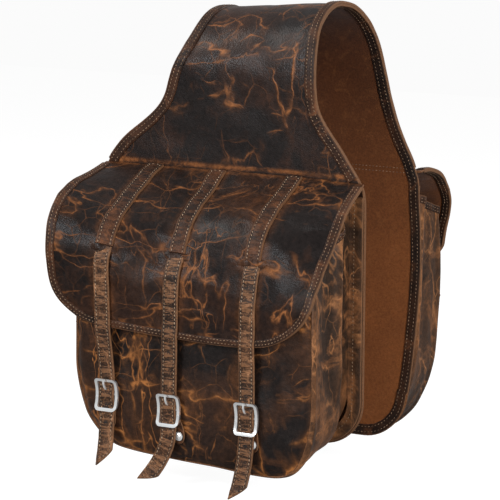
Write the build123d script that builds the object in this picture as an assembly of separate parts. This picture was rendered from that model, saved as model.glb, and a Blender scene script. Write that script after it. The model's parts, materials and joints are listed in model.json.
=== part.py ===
# Throw-over leather saddle bag: two pouches joined by an hourglass yoke.
# Millimetres. +Z is up, +X is across the width, the front pouch faces -Y.
# Origin: underside of the yoke at the crown, where it lies over a saddle, rack or rail.
#
# Each half is modelled upright in its own frame, then hung from the crown. There, z = 0 is the
# bottom edge of the back panel and "out" is the distance from the panel's outer face, along -Y.
import math
import os

from build123d import *

os.makedirs("parts", exist_ok=True)

# ---------------------------------------------------------------- leathers and clearances
T_YOKE = 3.0
T_BAG = 2.6
T_FLAP = 3.0
T_STRAP = 2.5
T_BINDING = 1.2
GUSSET_GAP = 0.3       # back panel to gusset
LAYER_GAP = 0.2        # between other stacked leathers
FITTING_GAP = 0.5      # pouch front to the datum of the fittings

# ---------------------------------------------------------------- yoke
HALF_GAP = 91.0        # crown centre to the outer face of a back panel, also the arch radius
ARCH_SPRING_Z = 398.0  # where the yoke begins to arch over
CROWN_Z = ARCH_SPRING_Z + HALF_GAP - T_YOKE   # underside of the crown
CROWN_GAP = 2.0        # clearance where the two halves of the yoke meet
BINDING_CROWN_CUT = 4.0   # the binding stops this far from the crown centre
SWING = 3.55           # each half hangs inward by this many degrees about the crown
PANEL_HALF = 164.0     # half width of a back panel
PANEL_CORNER = 50.0    # its lower corner radius
# side edge of the hourglass: (half width, height) through two arcs, then straight to the crown
SHOULDER = [(PANEL_HALF, 286.0), (156.5, 308.0), (135.5, 331.0)]
WAIST = [(135.5, 331.0), (107.5, 361.0), (91.5, 395.0)]
EDGE_TOP = (77.5, 505.0)  # end of the straight run, above the crown
YOKE_BINDING_INSETS = (0.4, 11.0)   # binding edges, in from the side edge
YOKE_BINDING_Z = 313.0    # its lower end

# ---------------------------------------------------------------- pouch
FLANGE = 16.0          # back panel left outside the gusset
T_FLANGE = 2.0
FLANGE_LIP = 1.0       # the gusset's overlap with its flange
FLANGE_EDGE = 2.0      # back panel left outside the flange
GUSSET_DEPTH = 110.0   # depth of the pouch at its side seams
BULGE = 6.0            # extra depth in the middle of the front panel
BULGE_HALF = 150.0     # half width over which the bulge dies away
BOTTOM_BACK = 16.0     # gusset bottom at the back panel
BOTTOM_FRONT = -12.0   # the same at the front panel: the pouch sags forward
BOTTOM_SLOPE = (BOTTOM_FRONT - BOTTOM_BACK) / GUSSET_DEPTH
TRAY_HALF = PANEL_HALF - FLANGE + FLANGE_LIP
TRAY_CORNER = 52.0
MOUTH_BACK = 272.0     # height of the pouch mouth at the back panel
MOUTH_SLOPE = -0.25    # fall of the mouth towards the front

# ---------------------------------------------------------------- flap
FLAP_HALF = 163.0
FLAP_BOTTOM = 137.0
FLAP_CORNER = 52.0
FLAP_START = 0.9       # out position of the flap's back edge
# outer face of the closed flap: level, then one large bend, then upright
FLAP_TOP = 301.5
FLAP_R = 90.0
FLAP_OUT = 129.2
BEND_CENTRE = (FLAP_OUT - FLAP_R, FLAP_TOP - FLAP_R)
FLAP_BINDING_INSETS = (0.5, 9.0)    # binding edges, in from the flap edge
FLAP_BINDING_START = 7.0

# ---------------------------------------------------------------- straps and fittings
STRAP_W = 19.0
STRAP_START = 12.0
STRAP_END_Z = 232.0
STRAP_X = [-96.0, -16.0, 80.0]       # strap centre lines
BUCKLE_Z = [58.0, 50.0, 51.0]        # centre bars of the buckles
SNAP_DX = [2.0, 11.0, 6.0]           # press studs, sideways from the strap centre line
SNAP_DZ = -30.0                      # and below the centre bar
# loose strap tails: (tip x, tip height, height where the tail begins to lean)
FRONT_TAILS = [(-101.0, -19.0, 38.0), (-47.0, -30.0, 26.0), (67.0, -37.0, 30.0)]
REAR_TAILS = [(-99.0, 4.0, 40.0), (-36.0, -6.0, 31.0), (72.0, -10.0, 32.0)]
TAIL_STEPS = 4
TAIL_TAPER = 0.72      # relative width at the last step before the tip
TIP_HALF = 1.2         # half width of the blunt tip
SHEET_END_Z = -19.0    # the strap sheet runs at least this low before it is cut to outline
BRIDGE_Z = (229.5, 240.0)            # band of flap leather over each strap
BRIDGE_OFFSET = 3.5    # underside of the band, over the flap
BRIDGE_T = 1.5
BRIDGE_CLEAR = 0.7     # strap edge to the band's legs
BRIDGE_SIDE = 4.2      # strap edge to the band's outer side
BRIDGE_START = 20.0
BILLET_Z = 228.0       # fold line of the loose strap under the band

FRAME_W = 28.0         # buckle frame, outside width
FRAME_H = 37.0         # outside height
FRAME_CORNERS = (5.5, 2.4)   # outer and inner corner radii
FRAME_BAR = 3.4        # bar width
FRAME_T = 3.2          # bar thickness
FRAME_MID_OUT = 4.8    # middle of the bowed frame over the datum
FRAME_END_OUT = 10.0   # the same at its end bars
PIN_R = 1.3            # centre bar radius
PIN_OUT = 3.4          # centre bar over the datum
PIN_HOLE_R = PIN_R + 0.1
PRONG_HALF = 1.2       # half width of the prong
PRONG_EYE_R = 2.6
# prong centre line past the bar: (out from the datum, height over the centre bar)
PRONG_LINE = [(5.8, 3.2), (10.9, 9.4), (13.1, 13.4), (13.3, 17.5)]
SLOT_HALF = 1.9        # half width of the slots the prong passes through
CHAPE_IN = 0.6         # underside of the chape over the datum
CHAPE_HALF = 9.0
CHAPE_LOOP_R = 2.75

CUT_Y = 400.0          # half depth of the through-cutting prisms
CUT_X = 220.0          # half width of cutters across the whole bag


# ---------------------------------------------------------------- helpers
def point(x, out, z):
    return Vector(x, -out, z)


def one(shape):
    """The largest solid of a result."""
    return max(shape.solids(), key=lambda solid: solid.volume)


def box(x0, x1, out0, out1, z0, z1):
    centre = Pos((x0 + x1) / 2, -(out0 + out1) / 2, (z0 + z1) / 2)
    return centre * Box(x1 - x0, out1 - out0, z1 - z0)


def facing_out(x, out, z):
    """Placement that turns local +Z outwards."""
    return Pos(x, -out, z) * Rot(90, 0, 0)


def polygon_edges(corners):
    return [Line(a, b) for a, b in zip(corners, corners[1:] + corners[:1])]


def x_prism(edges, x0, x1):
    return extrude(Face(Wire(edges)), amount=x1 - x0, dir=(1, 0, 0))


def y_prism(edges):
    """Outline at y = -CUT_Y, extruded through the depth."""
    return extrude(Face(Wire(edges)), amount=2 * CUT_Y, dir=(0, 1, 0))


def profile_prism(profile, x0, x1):
    """Closed polygon of (out, height) points, from x0 to x1."""
    return x_prism(polygon_edges([point(x0, *p) for p in profile]), x0, x1)


def outline_prism(outline):
    """Closed polygon of (x, height) points, through the depth."""
    return y_prism(polygon_edges([Vector(x, -CUT_Y, z) for x, z in outline]))


def offset_line(line, shift):
    """Shift a polyline along its left-hand normal, with mitred corners."""
    normals = []
    for p, q in zip(line, line[1:]):
        length = math.dist(p, q)
        normals.append((-(q[1] - p[1]) / length, (q[0] - p[0]) / length))
    moved = []
    for p, a, b in zip(line, normals[:1] + normals, normals + normals[-1:]):
        k = shift / (1 + a[0] * b[0] + a[1] * b[1])
        moved.append((p[0] + (a[0] + b[0]) * k, p[1] + (a[1] + b[1]) * k))
    return moved


def ribbon(line, shift0, shift1, x0, x1):
    """Sheet between two offsets of an (out, height) polyline."""
    return profile_prism(offset_line(line, shift0) + offset_line(line, shift1)[::-1], x0, x1)


def bent_sheet(shift0, shift1, start, centre, radius, low, x0, x1):
    """Sheet between two offsets of a level run from start, a quarter bend and a drop to low."""
    bend_out, bend_z = centre
    k = math.sqrt(0.5)

    def run(shift):
        r = radius + shift
        return [point(x0, start, bend_z + r), point(x0, bend_out, bend_z + r),
                point(x0, bend_out + k * r, bend_z + k * r),
                point(x0, bend_out + r, bend_z), point(x0, bend_out + r, low)]

    a, b = run(shift0), run(shift1)
    edges = [ThreePointArc(*a[1:4]), Line(a[3], a[4]), Line(a[4], b[4]), Line(b[4], b[3]),
             ThreePointArc(b[3], b[2], b[1])]
    if start < bend_out:
        edges = [Line(a[0], a[1])] + edges + [Line(b[1], b[0])]
    return x_prism(edges + [Line(b[0], a[0])], x0, x1)


def arc_band(a, b):
    """Face between two arcs of three points each."""
    return Face(Wire([ThreePointArc(*a), Line(a[2], b[2]),
                      ThreePointArc(b[2], b[1], b[0]), Line(b[0], a[0])]))


def u_edges(half, bottom, r, top, y):
    """Open U with rounded lower corners, from its top at -X round to its top at +X."""
    k = r * math.sqrt(0.5)
    return [
        Line(Vector(-half, y, top), Vector(-half, y, bottom + r)),
        ThreePointArc(Vector(-half, y, bottom + r),
                      Vector(-half + r - k, y, bottom + r - k), Vector(-half + r, y, bottom)),
        Line(Vector(-half + r, y, bottom), Vector(half - r, y, bottom)),
        ThreePointArc(Vector(half - r, y, bottom),
                      Vector(half - r + k, y, bottom + r - k), Vector(half, y, bottom + r)),
        Line(Vector(half, y, bottom + r), Vector(half, y, top)),
    ]


def u_prism(half, bottom, r, top, out0, out1, slope=0.0):
    """Closed U outline swept outwards, rising by slope per millimetre."""
    edges = u_edges(half, bottom, r, top, -out0)
    edges.append(Line(point(half, out0, top), point(-half, out0, top)))
    return extrude(Face(Wire(edges)), amount=(out1 - out0) * math.hypot(1.0, slope),
                   dir=(0, -1, slope))


# ---------------------------------------------------------------- yoke, one half
def arch_sheet(shift0, shift1, low, crown_cut):
    """Back panel and arch as one bent sheet between two offsets of the outer face."""
    body = bent_sheet(shift0, shift1, -HALF_GAP, (-HALF_GAP, ARCH_SPRING_Z), HALF_GAP, low,
                      -200.0, 200.0)
    return body - box(-CUT_X, CUT_X, -HALF_GAP - 20, -HALF_GAP + crown_cut, 380, 520)


def inset_arc(points, inset):
    """Three points of an arc, moved along the radius towards the middle of the bag."""
    (ax, az), (bx, bz), (cx, cz) = points
    a2, b2, c2 = ax * ax + az * az, bx * bx + bz * bz, cx * cx + cz * cz
    d = 2 * (ax * (bz - cz) + bx * (cz - az) + cx * (az - bz))
    centre_x = (a2 * (bz - cz) + b2 * (cz - az) + c2 * (az - bz)) / d
    centre_z = (a2 * (cx - bx) + b2 * (ax - cx) + c2 * (bx - ax)) / d
    moved = []
    for x, z in points:
        r = math.hypot(x - centre_x, z - centre_z)
        k = -1.0 if x > centre_x else 1.0   # a convex edge has its centre on the bag's side
        moved.append((x + (x - centre_x) / r * inset * k, z + (z - centre_z) / r * inset * k))
    return moved


def side_edges(sign, inset):
    """Hourglass side edge from the shoulder past the crown, with its lower and upper ends."""
    shoulder, waist = ([Vector(sign * x, -CUT_Y, z) for x, z in inset_arc(arc, inset)]
                       for arc in (SHOULDER, WAIST))
    top = Vector(sign * (EDGE_TOP[0] - inset), -CUT_Y, EDGE_TOP[1])
    edges = [ThreePointArc(*shoulder)]
    if (shoulder[-1] - waist[0]).length > 1e-6:    # insetting can part the two arcs
        edges.append(Line(shoulder[-1], waist[0]))
    edges += [ThreePointArc(*waist), Line(waist[-1], top)]
    return edges, shoulder[0], top


def make_yoke():
    left, _, left_top = side_edges(-1, 0.0)
    right, _, right_top = side_edges(1, 0.0)
    panel = u_edges(PANEL_HALF, 0.0, PANEL_CORNER, SHOULDER[0][1], -CUT_Y)
    outline = y_prism(panel + right + [Line(right_top, left_top)] + left)
    return one(arch_sheet(-T_YOKE, 0.0, 0.0, CROWN_GAP / 2) & outline)


def make_yoke_binding():
    """A sewn strip on the outer face along both side edges."""
    skin = arch_sheet(LAYER_GAP, LAYER_GAP + T_BINDING, 300.0, BINDING_CROWN_CUT)
    strips = []
    for sign in (-1, 1):
        outer, outer_low, outer_top = side_edges(sign, YOKE_BINDING_INSETS[0])
        inner, inner_low, inner_top = side_edges(sign, YOKE_BINDING_INSETS[1])
        strip = y_prism(outer + [Line(outer_top, inner_top)] + inner
                        + [Line(inner_low, outer_low)])
        strips.append(one(skin & strip & box(-CUT_X, CUT_X, -150, 20, YOKE_BINDING_Z, 520)))
    return Compound(children=strips)


# ---------------------------------------------------------------- pouch
def tray(out0, out1, inset):
    """The pouch's U section, swept outwards and slightly down."""
    return u_prism(TRAY_HALF - inset, BOTTOM_BACK + BOTTOM_SLOPE * out0 + inset,
                   TRAY_CORNER - inset, 360.0, out0, out1, BOTTOM_SLOPE)


def front_out(x):
    """How far out the pouch front stands at x."""
    return GUSSET_DEPTH + BULGE * (1 - (x / BULGE_HALF) ** 2)


def fitting_out(x):
    """Datum of the fittings on the pouch front."""
    return front_out(x) + FITTING_GAP


def front_slab(shift0, shift1):
    """Upright slab following the plan curve of the front panel."""
    curves = [[point(x, front_out(x) + shift, -60.0) for x in (-170, 0, 170)]
              for shift in (shift0, shift1)]
    return extrude(arc_band(*curves), amount=420.0, dir=(0, 0, 1))


def mouth_cut():
    """Everything above the sloping mouth."""
    near, far, top = -20.0, 170.0, 420.0
    return profile_prism([(near, MOUTH_BACK + MOUTH_SLOPE * near),
                          (far, MOUTH_BACK + MOUTH_SLOPE * far), (far, top), (near, top)],
                         -CUT_X, CUT_X)


def make_gusset():
    shell = tray(GUSSET_GAP, 150.0, 0.0) - tray(GUSSET_GAP - 1.0, 151.0, T_BAG)
    shell = shell - front_slab(-T_BAG - LAYER_GAP, 80.0)
    outer = u_prism(PANEL_HALF - FLANGE_EDGE, FLANGE_EDGE, PANEL_CORNER - FLANGE_EDGE, 284.0,
                    GUSSET_GAP, GUSSET_GAP + T_FLANGE)
    opening = u_prism(PANEL_HALF - FLANGE - FLANGE_LIP, BOTTOM_BACK + FLANGE_LIP, 47.0, 320.0,
                      -5.0, 10.0)
    return one((shell + (outer - opening)) - mouth_cut())


def make_pouch_front():
    return one((front_slab(-T_BAG, 0.0) & tray(60.0, 160.0, 0.0)) - mouth_cut())


# ---------------------------------------------------------------- flap and its straps
def flap_sheet(shift0, shift1, start, x0=-200.0, x1=200.0):
    return bent_sheet(shift0, shift1, start, BEND_CENTRE, FLAP_R, 120.0, x0, x1)


def flap_outline(inset, top):
    return u_prism(FLAP_HALF - inset, FLAP_BOTTOM + inset, FLAP_CORNER - inset, top, -10.0, 160.0)


def make_bridge(x):
    """Band over a strap, with a leg down to the flap on each side."""
    low, high = x - STRAP_W / 2, x + STRAP_W / 2
    left, right = low - BRIDGE_SIDE, high + BRIDGE_SIDE
    band = flap_sheet(BRIDGE_OFFSET, BRIDGE_OFFSET + BRIDGE_T, BRIDGE_START, left, right)
    leg = (-1.0, BRIDGE_OFFSET + 0.5, BRIDGE_START)   # runs into the flap and into the band
    legs = flap_sheet(*leg, left, low - BRIDGE_CLEAR) + flap_sheet(*leg, high + BRIDGE_CLEAR, right)
    return (band + legs) & box(x - 30, x + 30, 90, 170, *BRIDGE_Z)


def make_flap():
    flap = flap_sheet(-T_FLAP, 0.0, FLAP_START) & flap_outline(0.0, 330.0)
    for x in STRAP_X:
        flap = flap + make_bridge(x)
    return one(flap)


def make_flap_binding():
    skin = flap_sheet(LAYER_GAP, LAYER_GAP + T_BINDING, FLAP_BINDING_START)
    outer, inner = FLAP_BINDING_INSETS
    return one((skin & flap_outline(outer, 330.0)) - flap_outline(inner, 340.0))


def make_strap(x):
    """Strap lying on the flap, down to the band."""
    sheet = flap_sheet(LAYER_GAP, LAYER_GAP + T_STRAP, STRAP_START,
                       x - STRAP_W / 2, x + STRAP_W / 2)
    return one(sheet - box(-CUT_X, CUT_X, 90, 160, 100, STRAP_END_Z))


def billet_outline(x, tip_x, tip_z, bend_z):
    """Loose strap seen from the front: straight, then leaning to a narrow tip."""
    centres = [(x, 250.0), (x, bend_z)]
    for step in range(1, TAIL_STEPS + 1):
        t = step / TAIL_STEPS
        centres.append((x + (tip_x - x) * (0.35 * t + 0.65 * t * t),
                        bend_z + (tip_z - bend_z) * t))
    left, right = [], []
    for k, (cx, cz) in enumerate(centres[:-1]):
        before, after = centres[max(k - 1, 0)], centres[k + 1]
        dx, dz = after[0] - before[0], after[1] - before[1]
        half = STRAP_W / 2 * (TAIL_TAPER if k == TAIL_STEPS else 1.0)
        side_x, side_z = dz / math.hypot(dx, dz) * half, -dx / math.hypot(dx, dz) * half
        left.append((cx + side_x, cz + side_z))
        right.append((cx - side_x, cz - side_z))
    return left + [(tip_x - TIP_HALF, tip_z), (tip_x + TIP_HALF, tip_z)] + right[::-1]


def make_billet(x, bar_z, tail):
    """Loose strap: from the band, through the buckle, to its free tail."""
    tip_x, tip_z, bend_z = tail
    datum = fitting_out(x)
    fold_out = (BEND_CENTRE[0] + math.sqrt(FLAP_R ** 2 - (BILLET_Z - BEND_CENTRE[1]) ** 2)
                + FITTING_GAP)
    end_z = min(tip_z, SHEET_END_Z)
    inner_face = [   # (out, height), from the fold down
        (fold_out, BILLET_Z + 1.2), (fold_out, BILLET_Z - 2.0),
        (FLAP_OUT + 0.35, 217.0), (FLAP_OUT + 0.4, 152.0),
        (FLAP_OUT + 1.8, 147.5), (FLAP_OUT + 1.8, 133.0),
        (datum + 8.5, 108.0), (datum + 4.3, bar_z + 25), (datum + 4.1, bar_z + 13),
        (datum + 6.5, bar_z + 3.6), (datum + 6.5, bar_z - 3.6),
        (datum + 4.1, bar_z - 13), (datum + 4.2, bar_z - 20),
        (datum + 5.6, bar_z - 26), (datum + 5.9, bar_z - 38),
        (datum + 9.5, (bar_z - 38 + end_z) / 2), (datum + 16.0, end_z - 5),
    ]
    body = ribbon(inner_face, 0.0, T_STRAP, x - 70, x + 30)
    body = body & outline_prism(billet_outline(x, tip_x, tip_z, bend_z))
    slot = box(x - SLOT_HALF, x + SLOT_HALF, datum + 2, datum + 14, bar_z - 3.2, bar_z + 9.8)
    return one(body - slot)


# ---------------------------------------------------------------- buckles and press studs
def bar_rod(x, bar_z, radius, length):
    """Cylinder on the axis of a buckle's centre bar."""
    return Pos(x, -(fitting_out(x) + PIN_OUT), bar_z) * Rot(0, 90, 0) * Cylinder(radius, length)


def make_buckle(x, bar_z):
    """Rounded rectangular ring, bowed so that both end bars pass over the strap, and its bar."""
    datum = fitting_out(x)
    inner_w, inner_h = FRAME_W - 2 * FRAME_BAR, FRAME_H - 2 * FRAME_BAR
    outer_r, inner_r = FRAME_CORNERS
    ring = (extrude(RectangleRounded(FRAME_W, FRAME_H, outer_r), amount=60, both=True)
            - extrude(RectangleRounded(inner_w, inner_h, inner_r), amount=70, both=True))
    ring = facing_out(x, datum, bar_z) * ring
    reach = 24.0     # bow drawn this far above and below the bar
    end_bar = FRAME_H / 2 - FRAME_BAR / 2
    rise = (FRAME_END_OUT - FRAME_MID_OUT) * (reach / end_bar) ** 2
    arcs = []
    for mid in (FRAME_MID_OUT - FRAME_T / 2, FRAME_MID_OUT + FRAME_T / 2):
        out = datum + mid
        arcs.append([point(x - 30, out + rise, bar_z - reach), point(x - 30, out, bar_z),
                     point(x - 30, out + rise, bar_z + reach)])
    frame = ring & extrude(arc_band(*arcs), amount=60.0, dir=(1, 0, 0))
    return one(frame + bar_rod(x, bar_z, PIN_R, inner_w + 3.0))


def make_prong(x, bar_z):
    """An eye round the centre bar and a bent tongue resting on the top bar."""
    datum = fitting_out(x)
    eye = bar_rod(x, bar_z, PRONG_EYE_R, 2 * PRONG_HALF)
    line = [(datum + out, bar_z + z) for out, z in [(PIN_OUT, 0.0)] + PRONG_LINE]
    tongue = ribbon(line, -0.9, 0.9, x - PRONG_HALF, x + PRONG_HALF)
    return one((eye + tongue) - bar_rod(x, bar_z, PIN_HOLE_R, 40))


def make_chape(x, bar_z, snap_x):
    """Short leather tab folded round the centre bar and carrying the press-stud cap."""
    datum = fitting_out(x)
    inner = datum + CHAPE_IN
    loop = bar_rod(x, bar_z, CHAPE_LOOP_R, 20.0)
    double = box(x - 10.0, x + 10.0, inner, inner + 3.0, bar_z - 13.0, bar_z)
    single = box(x - 30.0, x + 40.0, inner, inner + 1.5, bar_z - 40.0, bar_z - 8.0)
    # left side of the outline, from the top down: (centre x, half width, height over the bar)
    rows = [(x, CHAPE_HALF, 6), (x, CHAPE_HALF, -8), (snap_x, CHAPE_HALF, -24),
            (snap_x, CHAPE_HALF, -34), (snap_x, 5.5, -39)]
    outline = ([(cx - half, bar_z + z) for cx, half, z in rows]
               + [(cx + half, bar_z + z) for cx, half, z in rows[::-1]])
    chape = (loop + double + single) & outline_prism(outline)
    slot = box(x - SLOT_HALF, x + SLOT_HALF, datum - 2, datum + 14, bar_z - 4.4, bar_z + 4.4)
    chape = chape - bar_rod(x, bar_z, PIN_HOLE_R, 40) - slot
    chape = chape - facing_out(snap_x, datum + 1.5, bar_z + SNAP_DZ) * Cylinder(3.2, 8)
    return one(chape)


def make_snap_cap(x, bar_z, snap_x):
    """Domed cap with a socket underneath, on the chape."""
    rim = Pos(0, 0, 0.35) * Cylinder(5.0, 0.7)
    dome = (Sphere(7.3) & (Pos(0, 0, 6.45) * Cylinder(4.4, 3.0))).moved(Location((0, 0, -5.2)))
    cap = rim + (Pos(0, 0, 0.6) * dome)
    cap = cap - Pos(0, 0, 0.2) * Cylinder(2.6, 1.8)
    return one(facing_out(snap_x, fitting_out(x) + 2.2, bar_z + SNAP_DZ) * cap)


def make_snap_stud(x, bar_z, snap_x):
    """Post and round foot on the pouch front."""
    foot_r = 4.0
    foot_out = max(front_out(snap_x - foot_r), front_out(snap_x + foot_r)) + 0.02
    height = fitting_out(x) + 2.35 - foot_out
    stud = Pos(0, 0, 0.3) * Cylinder(foot_r, 0.6) + Pos(0, 0, height / 2) * Cylinder(1.6, height)
    return one(facing_out(snap_x, foot_out, bar_z + SNAP_DZ) * stud)


# ---------------------------------------------------------------- both halves
def hang(shape):
    """Move a piece from the half's own frame to its place under the crown."""
    return shape.moved(Location((0, -HALF_GAP, -CROWN_Z))).rotate(Axis.X, SWING)


def save_pair(name, front, rear):
    """Write the front piece, and the rear one turned to the other side."""
    export_step(hang(front), f"parts/front_{name}.step")
    export_step(hang(rear).rotate(Axis.Z, 180), f"parts/rear_{name}.step")


pieces = {
    "yoke": make_yoke(),
    "yoke_binding": make_yoke_binding(),
    "pouch_front": make_pouch_front(),
    "gusset": make_gusset(),
    "flap": make_flap(),
    "flap_binding": make_flap_binding(),
}
studs = []
for i, (x, bar_z, snap_dx) in enumerate(zip(STRAP_X, BUCKLE_Z, SNAP_DX)):
    number = i + 1
    snap = (x, bar_z, x + snap_dx)
    pieces[f"strap_{number}"] = make_strap(x)
    pieces[f"buckle_{number}"] = make_buckle(x, bar_z)
    pieces[f"prong_{number}"] = make_prong(x, bar_z)
    pieces[f"chape_{number}"] = make_chape(*snap)
    pieces[f"snap_cap_{number}"] = make_snap_cap(*snap)
    studs.append(make_snap_stud(*snap))
    # the rear straps are drawn up further, so their tails are short
    save_pair(f"billet_{number}", make_billet(x, bar_z, FRONT_TAILS[i]),
              make_billet(x, bar_z, REAR_TAILS[i]))
pieces["snap_studs"] = Compound(children=studs)

for name, shape in pieces.items():
    save_pair(name, shape, shape)
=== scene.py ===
"""A leather saddle bag: one hide (the yoke) arches over a crown and carries two pouches.

The crown runs along X. The front pouch hangs on the -Y side and the rear pouch on the +Y
side, each swung out a little about X, and +Z is up. Lengths are in millimetres until a mesh
is made. Each half is shaped in half-local coordinates: across (along +X for the front, -X for
the rear), out (away from the outer face of its back panel) and up (from the panel's bottom).
"""

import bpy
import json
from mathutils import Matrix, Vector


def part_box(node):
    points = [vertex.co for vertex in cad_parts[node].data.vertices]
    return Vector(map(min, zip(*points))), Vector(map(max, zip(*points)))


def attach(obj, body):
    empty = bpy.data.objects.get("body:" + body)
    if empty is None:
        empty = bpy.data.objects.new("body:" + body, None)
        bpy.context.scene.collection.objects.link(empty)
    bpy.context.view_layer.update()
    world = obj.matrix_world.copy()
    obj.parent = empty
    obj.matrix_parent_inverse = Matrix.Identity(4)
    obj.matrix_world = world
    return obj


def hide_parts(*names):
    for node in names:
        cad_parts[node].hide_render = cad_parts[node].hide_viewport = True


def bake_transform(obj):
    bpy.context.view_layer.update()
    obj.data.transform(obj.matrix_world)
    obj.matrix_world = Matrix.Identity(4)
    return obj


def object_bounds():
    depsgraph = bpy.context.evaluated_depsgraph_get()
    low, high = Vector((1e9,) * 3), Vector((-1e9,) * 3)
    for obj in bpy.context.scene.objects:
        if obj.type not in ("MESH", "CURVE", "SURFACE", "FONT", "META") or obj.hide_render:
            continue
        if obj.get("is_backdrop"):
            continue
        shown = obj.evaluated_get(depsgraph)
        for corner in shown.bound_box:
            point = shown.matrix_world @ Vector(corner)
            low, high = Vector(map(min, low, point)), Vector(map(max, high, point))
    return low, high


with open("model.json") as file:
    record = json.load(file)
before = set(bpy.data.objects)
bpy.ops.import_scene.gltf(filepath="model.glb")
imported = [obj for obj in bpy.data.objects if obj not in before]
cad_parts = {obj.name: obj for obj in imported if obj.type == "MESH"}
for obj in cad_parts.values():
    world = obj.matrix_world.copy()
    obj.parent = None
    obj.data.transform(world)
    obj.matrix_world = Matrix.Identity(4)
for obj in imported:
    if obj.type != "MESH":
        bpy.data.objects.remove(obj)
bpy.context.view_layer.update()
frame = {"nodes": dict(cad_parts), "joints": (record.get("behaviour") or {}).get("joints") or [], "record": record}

import itertools
import json
import math

import bpy
import numpy as np
from mathutils import Matrix, Vector


# ------------------------------------------------------------------ small maths
def smoothstep(low, high, x):
    t = np.clip((np.asarray(x, float) - low) / (high - low), 0, 1)
    return t * t * (3 - 2 * t)


def bell(x, centre, width):
    return np.exp(-((x - centre) / width) ** 2)


def columns(*values):
    """Stack numbers or arrays as the coordinates of points."""
    return np.stack(np.broadcast_arrays(*values), -1)


def unit(vectors):
    size = np.linalg.norm(vectors, axis=-1, keepdims=True)
    return vectors / np.maximum(size, 1e-12)


def rotate(y, z, angle):
    """Turn (y, z) about the X axis."""
    cos, sin = np.cos(angle), np.sin(angle)
    return y * cos - z * sin, y * sin + z * cos


def lattice_hash(cell, seed):
    h = (cell[..., 0] * 73856093) ^ (cell[..., 1] * 19349663) ^ (cell[..., 2] * 83492791)
    h = h ^ (seed * 2654435)
    h = (h ^ (h >> 13)) * 1274126177
    h = h & 0xFFFFFFFF
    h = (h ^ (h >> 16)) & 0xFFFF
    return h / 32767.5 - 1.0


def noise3(x, y, z, seed):
    """Smooth lattice noise, -1 to 1."""
    place = columns(x, y, z).astype(float)
    cell = np.floor(place).astype(np.int64)
    part = place - cell
    part = part * part * (3 - 2 * part)
    total = 0.0
    for corner in itertools.product((0, 1), repeat=3):
        weight = np.where(corner, part, 1 - part).prod(-1)
        total = total + weight * lattice_hash(cell + corner, seed)
    return total


def fractal(x, y, z, octaves, seed):
    """Layers of lattice noise, each finer and half as strong as the last."""
    total, weight, amplitude = 0.0, 0.0, 1.0
    for k in range(octaves):
        scale, shift = 2.03 ** k, 17.3 * k
        total = total + amplitude * noise3(x * scale + shift, y * scale + shift,
                                           z * scale + shift, seed + k)
        weight += amplitude
        amplitude *= 0.5
    return total / weight


def hermite(knots, values, x):
    """Smooth interpolation; each of values is broadcast against x."""
    knots = np.asarray(knots, float)
    last = len(knots) - 1
    slopes = []
    for i in range(last + 1):
        a, b = max(i - 1, 0), min(i + 1, last)
        slopes.append((values[b] - values[a]) / (knots[b] - knots[a]))
    x = np.clip(x, knots[0], knots[-1])
    result = np.zeros(np.broadcast(x, values[0]).shape)
    for i in range(last):
        span = knots[i + 1] - knots[i]
        t = (x - knots[i]) / span
        curve = ((2 * t ** 3 - 3 * t ** 2 + 1) * values[i]
                 + (t ** 3 - 2 * t ** 2 + t) * span * slopes[i]
                 + (-2 * t ** 3 + 3 * t ** 2) * values[i + 1]
                 + (t ** 3 - t ** 2) * span * slopes[i + 1])
        inside = (x >= knots[i]) & ((x < knots[i + 1]) | (i == last - 1))
        result = np.where(inside, curve, result)
    return result


def run_lengths(path):
    """Distance along a polyline at each of its points."""
    return np.concatenate([[0], np.cumsum(np.linalg.norm(np.diff(path, axis=0), axis=1))])


def interp_rows(x, knots, rows):
    """np.interp for every column of rows."""
    return np.stack([np.interp(x, knots, rows[:, k]) for k in range(rows.shape[1])], -1)


def resample(path, count):
    """Smooth polyline resampled to count points evenly by length."""
    path = np.asarray(path, float)
    for _ in range(3):      # corner cutting keeps the ends
        near = 0.75 * path[:-1] + 0.25 * path[1:]
        far = 0.25 * path[:-1] + 0.75 * path[1:]
        middle = np.stack([near, far], 1).reshape(-1, path.shape[1])
        path = np.vstack([path[:1], middle[1:-1], path[-1:]])
    run = run_lengths(path)
    return interp_rows(np.linspace(0, run[-1], count), run, path)


def arc(centre_x, centre_z, radius, start, end, count=12):
    """Points on an arc, angles in degrees."""
    angles = np.radians(np.linspace(start, end, count))
    return [(centre_x + radius * math.cos(k), centre_z + radius * math.sin(k)) for k in angles]


def left_normals(path):
    ahead = unit(np.gradient(path, axis=0))
    return np.stack([-ahead[:, 1], ahead[:, 0]], 1)


# A surface here is a function (a, b) -> (points, normals).
def oriented(place, step, probe):
    """Surface from a point function; at probe its normal points away from the XZ plane."""
    def raw(a, b):
        a, b = np.broadcast_arrays(np.asarray(a, float), np.asarray(b, float))
        normal = unit(np.cross(place(a + step, b) - place(a - step, b),
                               place(a, b + step) - place(a, b - step)))
        return place(a, b), normal

    spot, normal = raw(np.array([probe[0]]), np.array([probe[1]]))
    sign = 1.0 if normal[0, 1] * spot[0, 1] > 0 else -1.0

    def surface(a, b):
        spots, normals = raw(a, b)
        return spots, normals * sign
    return surface


def underside(surface, thickness):
    """The flesh side of a hide whose outer face is surface."""
    def inner(a, b):
        spots, normals = surface(a, b)
        return spots - normals * thickness, -normals
    return inner


def grid_normals(grid, row, col, outward):
    """Normals of a point grid, turned so that the one at (row, col) agrees with outward."""
    normals = unit(np.cross(np.gradient(grid, axis=1), np.gradient(grid, axis=0)))
    return -normals if np.sum(normals[row, col] * outward) < 0 else normals


# ------------------------------------------------------------------ the frame's own numbers
JOINT = {joint["name"]: joint for joint in frame["joints"]}
PANEL_AXIS = [m for m in frame["record"]["mounts"] if m["name"] == "inner_panel_face"][0]["axis"]
SWING = math.atan2(PANEL_AXIS[2], PANEL_AXIS[1])


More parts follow.
